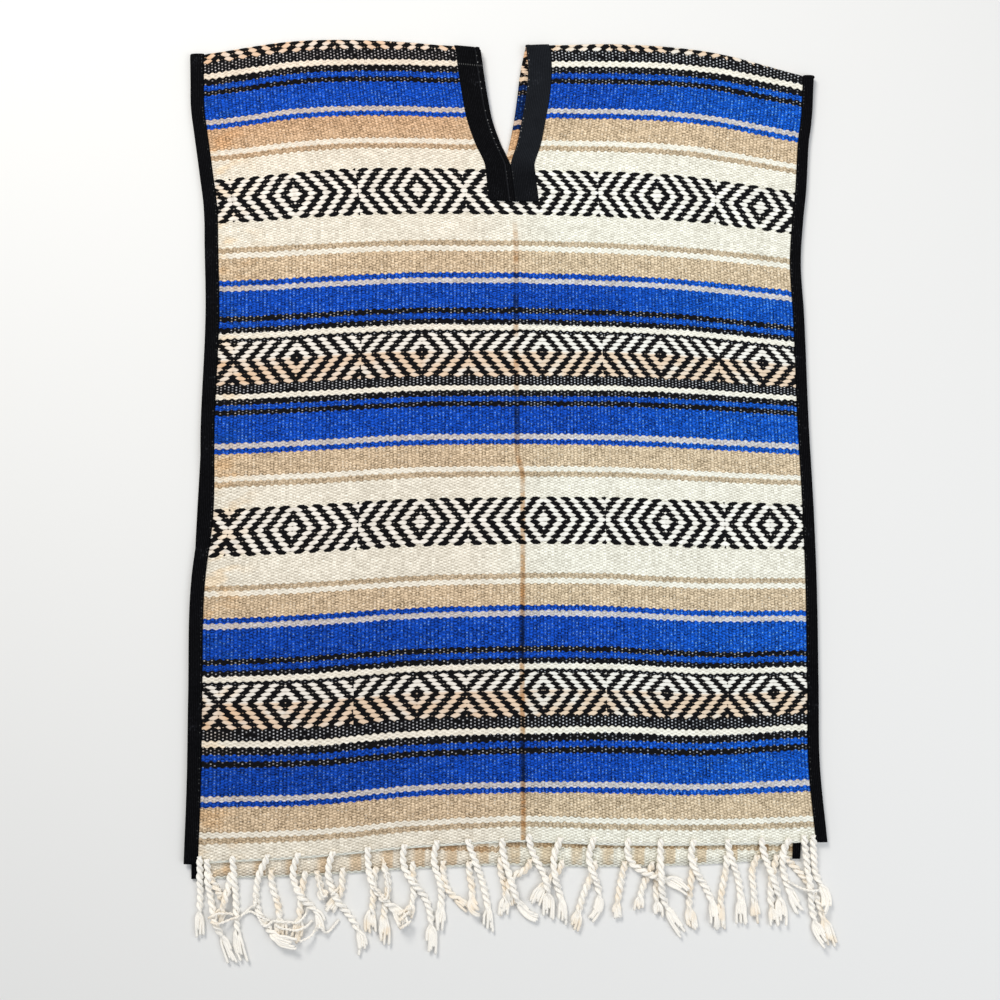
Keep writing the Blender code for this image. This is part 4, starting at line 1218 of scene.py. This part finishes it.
# Loose yarns that have slipped out of the cords: X and Y along each, in millimetres.
LOOSE = {
    "fringe_front": (
        ((-291, -485), (-281, -476), (-274, -470), (-275, -460)),
        ((-291, -484), (-281, -480), (-270, -483), (-259, -490)),
        ((-273, -480), (-264, -494), (-252, -489), (-230, -491), (-220, -484), (-216, -474)),
        ((-252, -493), (-236, -499), (-219, -496), (-212, -490)),
        ((-223, -509), (-212, -505), (-206, -496), (-200, -495)),
        ((-201, -495), (-194, -502), (-182, -489)),
        ((318, -446), (332, -453), (352, -455)),
    ),
    "fringe_back": (
        ((-207, -435), (-201, -459), (-196, -462)),
        ((-190, -460), (-182, -453)),
        ((-326, -485), (-314, -480), (-299, -482)),
        ((-322, -488), (-312, -490), (-292, -484)),
        ((-142, -450), (-130, -464), (-127, -452), (-134, -421)),
        ((-116, -481), (-101, -474)),
        ((-114, -487), (-103, -478)),
        ((-113, -495), (-101, -488)),
    ),
}
CORD_CLEARANCE = 0.0005
RING_STEP = 0.010         # length of a straight run of the plain cord
RING_PARTS = 5            # points to each straight run
YARNS = 6                 # in each cord, three to a ply
YARN_RADIUS = 0.00138
YARN_CLEARANCE = 0.0002   # over the floor
# From the cord's centre to a ply's, and from there to a yarn's.
PLY_OUT, STRAND_OUT = 0.00206, 0.00102
ROOT_OVER = 0.0045        # how far the root runs up over the hem
ROOT_DROP = (0.002, 0.012)       # a cord comes down from the hem: start and run
ROOT_LIFT = 2.2           # height of its centre line over the hem, in yarn radii
ROOT_SLIM = 0.15          # share by which its yarns are thinner at the root
FRAY_LONGEST, FRAY_SHARE = 0.044, 0.46   # frayed end: in metres, and as a share of its cord
FRAY_SPREAD = 0.55        # share of the frayed end over which its yarns spread
FAN_STEP = (0.0014, 0.0024)      # from yarn to yarn, side by side in a frayed end
TIP_LIFT = (-0.0006, 0.0010)     # of each yarn in a frayed end, at random
TIP_BEND = 0.0015
TIP_PUFF, TIP_TAPER = 0.12, 0.7
CUT_SHORT = 0.38          # most of the frayed end that a yarn is cut short by
FLATTENED = 0.82          # a cord's height by its width
YARN_SIDES = 6
YARN_STEP = 0.0019        # between the rings of a yarn
TWIST = 0.0160            # length of one turn of the plies
LOOSE_RADIUS = 0.0009     # of a loose yarn's two plies
LOOSE_OUT = (0.0008, 0.0007)     # how far its plies swing aside and up
LOOSE_STEP = 0.0016       # between its rings
LOOSE_TWIST = 0.007       # length of one turn
LOOSE_CLIMB = 0.7         # its steepest rise
LOOSE_ON_FLOOR, LOOSE_TOUCH = 0.0022, 0.0019     # its centre's height on the floor, on a cord
FIBRE_TURN = 0.0030       # along a yarn, in which its two fibres wind half way round


def hem_line(panel):
    """Points along a hem, with X increasing."""
    share = np.linspace(0.0, 1.0, HEM_POINTS)
    level = np.zeros(HEM_POINTS)
    left, right = (np.stack(cloth_point(panel, side, level + 1.0, share, level)[:3], -1)
                   for side in ("left", "right"))
    return np.concatenate([left, right[::-1]])


def cord_plan(cord, hem):
    """X, Y and distance along a cord, RING_PARTS points to each straight run of it."""
    root, length = cord[0], cord[1]
    rings = max(4, int(round(length / RING_STEP)) + 1)
    count = (rings - 1) * RING_PARTS
    step = length / count
    lean = np.radians(smooth_through(STATIONS, cord[2:], (np.arange(count) + 0.5) / count))
    start_y = np.interp(root, hem[:, 0], hem[:, 1]) + HEM_STRIP / 2
    x = root + np.concatenate([[0.0], np.cumsum(np.sin(lean))]) * step
    y = start_y - np.concatenate([[0.0], np.cumsum(np.cos(lean))]) * step
    return x, y, np.arange(count + 1) * step


def cord_radius(along, length):
    """Thin at the root, full along the cord, wider where it frays."""
    root = ROOT_RADIUS + (CORD_RADIUS - ROOT_RADIUS) * ease(along / ROOT_RUN)
    return root * (1.0 + TIP_SWELL * ease((along / length - FRAY_START) / FRAY_RUN))


def height_over(x, y, reach, laid):
    """Lowest height at each point that clears every cord laid so far.

    Two round cords touch when their distance is the sum of their radii (reach holds the
    upper one's), so the upper one's height over the lower is the triangle's other side.
    """
    need = np.zeros_like(x)
    for other_x, other_y, other_z, other_radius in laid:
        apart = np.hypot(x[:, None] - other_x, y[:, None] - other_y)
        touch = reach[:, None] + other_radius
        over = other_z + np.sqrt(np.maximum(touch**2 - apart**2, 0.0))
        need = np.maximum(need, np.where(apart < touch, over, 0.0).max(axis=1))
    return need


def draped(need, along, climb):
    """Height of a line that clears what it needs to and rises no steeper than climb."""
    return (need[None, :] - climb * np.abs(along[:, None] - along[None, :])).max(axis=1)


def settle(cords, hem, back_hem, on_panel, laid):
    """Centre lines of cords laid one by one, each over what is there already."""
    routes = []
    for cord in cords:
        x, y, along = cord_plan(cord, hem)
        radius = cord_radius(along, cord[1])
        ground = np.zeros_like(x)
        if on_panel:
            edge = np.interp(x, back_hem[:, 0], back_hem[:, 1]) - CORD_RADIUS
            beside = (x < back_hem[0, 0]) | (x > back_hem[-1, 0])
            ground = np.where(y > edge, np.where(beside, BOUND_TOP, CLOTH_WALL), 0.0)
        need = np.maximum(ground + radius + FLOOR_CLEARANCE,
                          height_over(x, y, radius + CORD_CLEARANCE, laid))
        z = draped(need, along, CLIMB)
        laid.append((x, y, z, radius))
        hem_top = np.interp(cord[0], hem[:, 0], hem[:, 2]) + CLOTH_WALL / 2
        routes.append((x, y, z, along, cord[1], hem_top))
    return routes


def directions(path):
    """Unit vectors along a path that lies mostly level, and level ones square to them."""
    along = np.gradient(path, axis=0)
    along /= np.linalg.norm(along, axis=1, keepdims=True)
    aside = np.stack([along[:, 1], -along[:, 0], 0 * along[:, 0]], -1)
    return along, aside / np.maximum(np.linalg.norm(aside, axis=1, keepdims=True), 1e-9)


def yarn_rings(path, radius):
    """Rings of YARN_SIDES points round a path."""
    along, aside = directions(path)
    up = np.cross(aside, along)
    turn = np.linspace(0.0, 2 * math.pi, YARN_SIDES, endpoint=False)[None, :, None]
    ring = aside[:, None, :] * np.cos(turn) + up[:, None, :] * np.sin(turn)
    return path[:, None, :] + ring * radius[:, None, None]


def add_yarn(parts, path, radius):
    """Adds one yarn: a tube along the path, closed by a point at each end."""
    round_it = np.arange(YARN_SIDES) / YARN_SIDES
    points, faces, uv = closed_tube(yarn_rings(path, radius), path[[0, -1]], round_it,
                                    distance_along(path))
    parts["points"].append(points)
    parts["faces"].append(faces + parts["count"])
    parts["uv"].append(uv)
    parts["count"] += len(points)


def cord_centre(route, at):
    """Centre line at distances along a cord, smoothed, from the top of the hem down."""
    x, y, z, along, _, hem_top = route
    centre = np.stack([np.interp(at, along, line) for line in (x, y, z)], -1)
    centre[:, 1] += np.maximum(-at, 0.0)
    clear = hem_top + ROOT_LIFT * YARN_RADIUS
    centre[:, 2] = np.maximum(centre[:, 2], clear * (1.0 - ramp_from(at, ROOT_DROP)))
    for line in range(3):
        padded = np.pad(centre[:, line], 2, mode="edge")
        centre[2:-2, line] = np.convolve(padded, np.ones(5) / 5, "valid")[2:-2]
    return centre


def add_cord(parts, route, random):
    """Six yarns: two plies of three, twisted round the centre line, loose at the tip."""
    length = route[4]
    fray = min(FRAY_LONGEST, FRAY_SHARE * length) * random.uniform(0.75, 1.1)
    over = ROOT_OVER * random.uniform(0.5, 1.5)
    at = np.linspace(-over, length, max(20, int(length / YARN_STEP)))
    centre = cord_centre(route, at)
    _, aside = directions(centre)
    loose_share = ease((at - (length - fray)) / (fray * FRAY_SPREAD))
    slim = 1.0 - ROOT_SLIM * (1.0 - ease((at + over) / ROOT_RUN))
    turn = 2 * math.pi * at / TWIST + random.uniform(0, 6.28)
    bend = random.uniform(-TIP_BEND, TIP_BEND)
    for yarn in range(YARNS):
        ply, strand = divmod(yarn, 3)
        ply_turn = turn + math.pi * ply
        own_turn = ply_turn * 0.5 + strand * 2 * math.pi / 3
        side = PLY_OUT * np.cos(ply_turn) + STRAND_OUT * np.cos(own_turn)
        up = (PLY_OUT * np.sin(ply_turn) + STRAND_OUT * np.sin(own_turn)) * FLATTENED
        fan = (yarn - (YARNS - 1) / 2) * random.uniform(*FAN_STEP)
        spread = fan + bend * np.sin(at / length * 9 + yarn)
        side = side * (1 - loose_share) + spread * loose_share
        up = up * (1 - loose_share) + random.uniform(*TIP_LIFT) * loose_share
        path = centre + aside * (side * slim)[:, None]
        path[:, 2] = np.maximum(path[:, 2] + up * slim, YARN_RADIUS + YARN_CLEARANCE)
        keep = len(at) - int(random.uniform(0.0, CUT_SHORT) * fray / (length / len(at)))
        radius = YARN_RADIUS * slim * (1.0 + TIP_PUFF * loose_share)
        radius[-1] *= TIP_TAPER
        add_yarn(parts, path[:keep], radius[:keep])


def add_loose(parts, places, laid):
    """Two thin yarns wound round a line through the given places, over what lies there."""
    places = np.array(places) / 1000
    length = float(distance_along(places)[-1])
    count = max(12, int(length / LOOSE_STEP))
    at = np.linspace(0.0, 1.0, count)
    line = smooth_through(np.linspace(0.0, 1.0, len(places)), places, at)
    need = height_over(line[:, 0], line[:, 1], np.full(count, LOOSE_TOUCH), laid)
    height = draped(np.maximum(need, LOOSE_ON_FLOOR), at * length, LOOSE_CLIMB)
    centre = np.concatenate([line, height[:, None]], axis=1)
    _, aside = directions(line)
    for ply in range(2):
        turn = 2 * math.pi * at * length / LOOSE_TWIST + math.pi * ply
        path = centre + aside * (LOOSE_OUT[0] * np.cos(turn))[:, None]
        path[:, 2] += LOOSE_OUT[1] * np.sin(turn)
        add_yarn(parts, path, np.full(count, LOOSE_RADIUS))


def make_cord_material():
    """Cream yarn with fibres that wind round it, with warm patches, far more of them in the
    back's fringe.
    """
    material, graph, shader = new_material("cream_cord")
    around, along = graph.uv("UVMap")
    place = graph.split(graph.node("ShaderNodeTexCoord", {}, output=3))
    wind = graph.math("SINE", (around + along / FIBRE_TURN) * (4 * math.pi))
    patch = graph.noise(graph.join(*place), 60.0, 3.0)
    fine = graph.noise(graph.join(*place), 1400.0, 2.0)
    warmer_yarn = graph.attribute("warmer_yarn")
    tone = 0.93 + (patch * 0.08 + fine * 0.12) + wind * 0.05
    colour = graph.tint(CORD, 1.0, graph.join(tone, tone, tone))
    warm_patches = graph.step(patch, 0.38, 0.66) * (0.06 + warmer_yarn * 0.44)
    colour = graph.mix(warm_patches, colour, WARM_CORD_PATCH)
    height = wind * 0.5 + fine * 0.8
    finish_material(graph, shader, colour, 0.90, 0.10, height, (0.00025, 0.7))
    return material


def make_fringe(name, routes, laid, seed, material):
    """All the cords and loose yarns of one hem as one mesh."""
    random = np.random.default_rng(seed)
    parts = {"points": [], "faces": [], "uv": [], "count": 0}
    for route in routes:
        add_cord(parts, route, random)
    for places in LOOSE[name]:
        add_loose(parts, places, laid)
    fringe = mesh_object(name, np.concatenate(parts["points"]),
                         np.concatenate(parts["faces"]), material,
                         np.concatenate(parts["uv"]))
    paint(fringe, "warmer_yarn", np.full(parts["count"], 1.0 if name == "fringe_back" else 0.0))
    return fringe


# ------------------------------------------------------------- the camera and lamps
# The camera: what it looks at, how far off it is, its angle above the floor, and its lens.
TARGET = Vector((-0.0025, -0.0189, 0.005))
DISTANCE = 1.25
ELEVATION = math.radians(84.5)
LENS = 38.99
FLOOR_REACH = 6.0
FLOOR_COLOUR = (0.78, 0.78, 0.77, 1.0)
# Name, place, size and power of each lamp, and its colour.
LAMPS = (
    ("key", (-0.9, 1.5, 1.9), 1.0, 43.7, (1.0, 0.97, 0.92)),
    ("fill", (1.3, -0.6, 1.8), 1.6, 17.4, (0.93, 0.96, 1.0)),
)
SKY, SKY_STRENGTH = (0.95, 0.97, 1.0, 1.0), 0.467


def aim(item, target):
    """Turns a camera or a lamp so that it looks at a place."""
    item.rotation_euler = (Vector(target) - item.location).to_track_quat("-Z", "Y").to_euler()


def add_camera():
    """Almost straight down, from just beyond the hem."""
    data = bpy.data.cameras.new("camera")
    data.lens, data.sensor_width = LENS, 36.0
    data.clip_start = 0.01
    camera = bpy.data.objects.new("camera", data)
    camera.location = TARGET + DISTANCE * Vector(
        (0.0, -math.cos(ELEVATION), math.sin(ELEVATION)))
    bpy.context.scene.collection.objects.link(camera)
    aim(camera, TARGET)
    bpy.context.scene.camera = camera


def add_lamp(name, place, size, power, colour):
    """Round area lamp that points at the middle of the cloth."""
    data = bpy.data.lights.new(name, "AREA")
    data.shape, data.size, data.energy, data.color = "DISK", size, power, colour
    light = bpy.data.objects.new(name, data)
    light.location = place
    bpy.context.scene.collection.objects.link(light)
    aim(light, (0.0, 0.0, 0.0))


def add_studio():
    """Pale floor, a broad light from beyond the shoulders, a weaker one and a grey sky."""
    corners = np.array([(-1, -1, 0), (1, -1, 0), (1, 1, 0), (-1, 1, 0)]) * FLOOR_REACH
    material, _, shader = new_material("floor")
    shader.inputs["Base Color"].default_value = FLOOR_COLOUR
    shader.inputs["Roughness"].default_value = 0.9
    mesh_object("floor", corners, np.array([[0, 1, 2, 3]]), material)
    for lamp in LAMPS:
        add_lamp(*lamp)
    world = bpy.data.worlds.new("sky")
    world.use_nodes = True
    back = world.node_tree.nodes["Background"]
    back.inputs["Color"].default_value = SKY
    back.inputs["Strength"].default_value = SKY_STRENGTH
    bpy.context.scene.world = world


def main():
    """The cloth, its tapes, both fringes, and then the camera, lamps and floor."""
    bpy.context.scene.view_settings.view_transform = "Standard"
    weave = make_cloth_material()
    cloth = make_cloth(weave)
    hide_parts("serape_front", "serape_back",
                *["serape_%s_%s" % (stretch, side)
                  for stretch in ("chest", "shoulder", "nape") for side in ("left", "right")])
    tape = make_tape_material()
    pieces = [cloth]
    for side in ("left", "right"):
        name = "side_binding_" + side
        binding = add_tape(name, side, 0.0, binding_section(BINDING_WIDTH[side]),
                           cloth_lines(), tape)
        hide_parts(name)
        neck_name = "neck_tape_" + side
        neck = add_tape(neck_name, side, 1.0, neck_section(side), neck_lines(side), tape)
        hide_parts(neck_name)
        pieces += [binding, neck]
    yarn = make_cord_material()
    back_hem, front_hem = hem_line("back"), hem_line("front")
    laid = []
    back_routes = settle(BACK_CORDS, back_hem, back_hem, False, laid)
    front_routes = settle(FRONT_CORDS, front_hem, back_hem, True, laid)
    for name, routes, seed in (("fringe_back", back_routes, 3),
                               ("fringe_front", front_routes, 5)):
        fringe = make_fringe(name, routes, laid, seed, yarn)
        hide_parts(name)
        pieces.append(fringe)
    for piece in pieces:
        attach(piece, "root")
    add_camera()
    add_studio()


main()
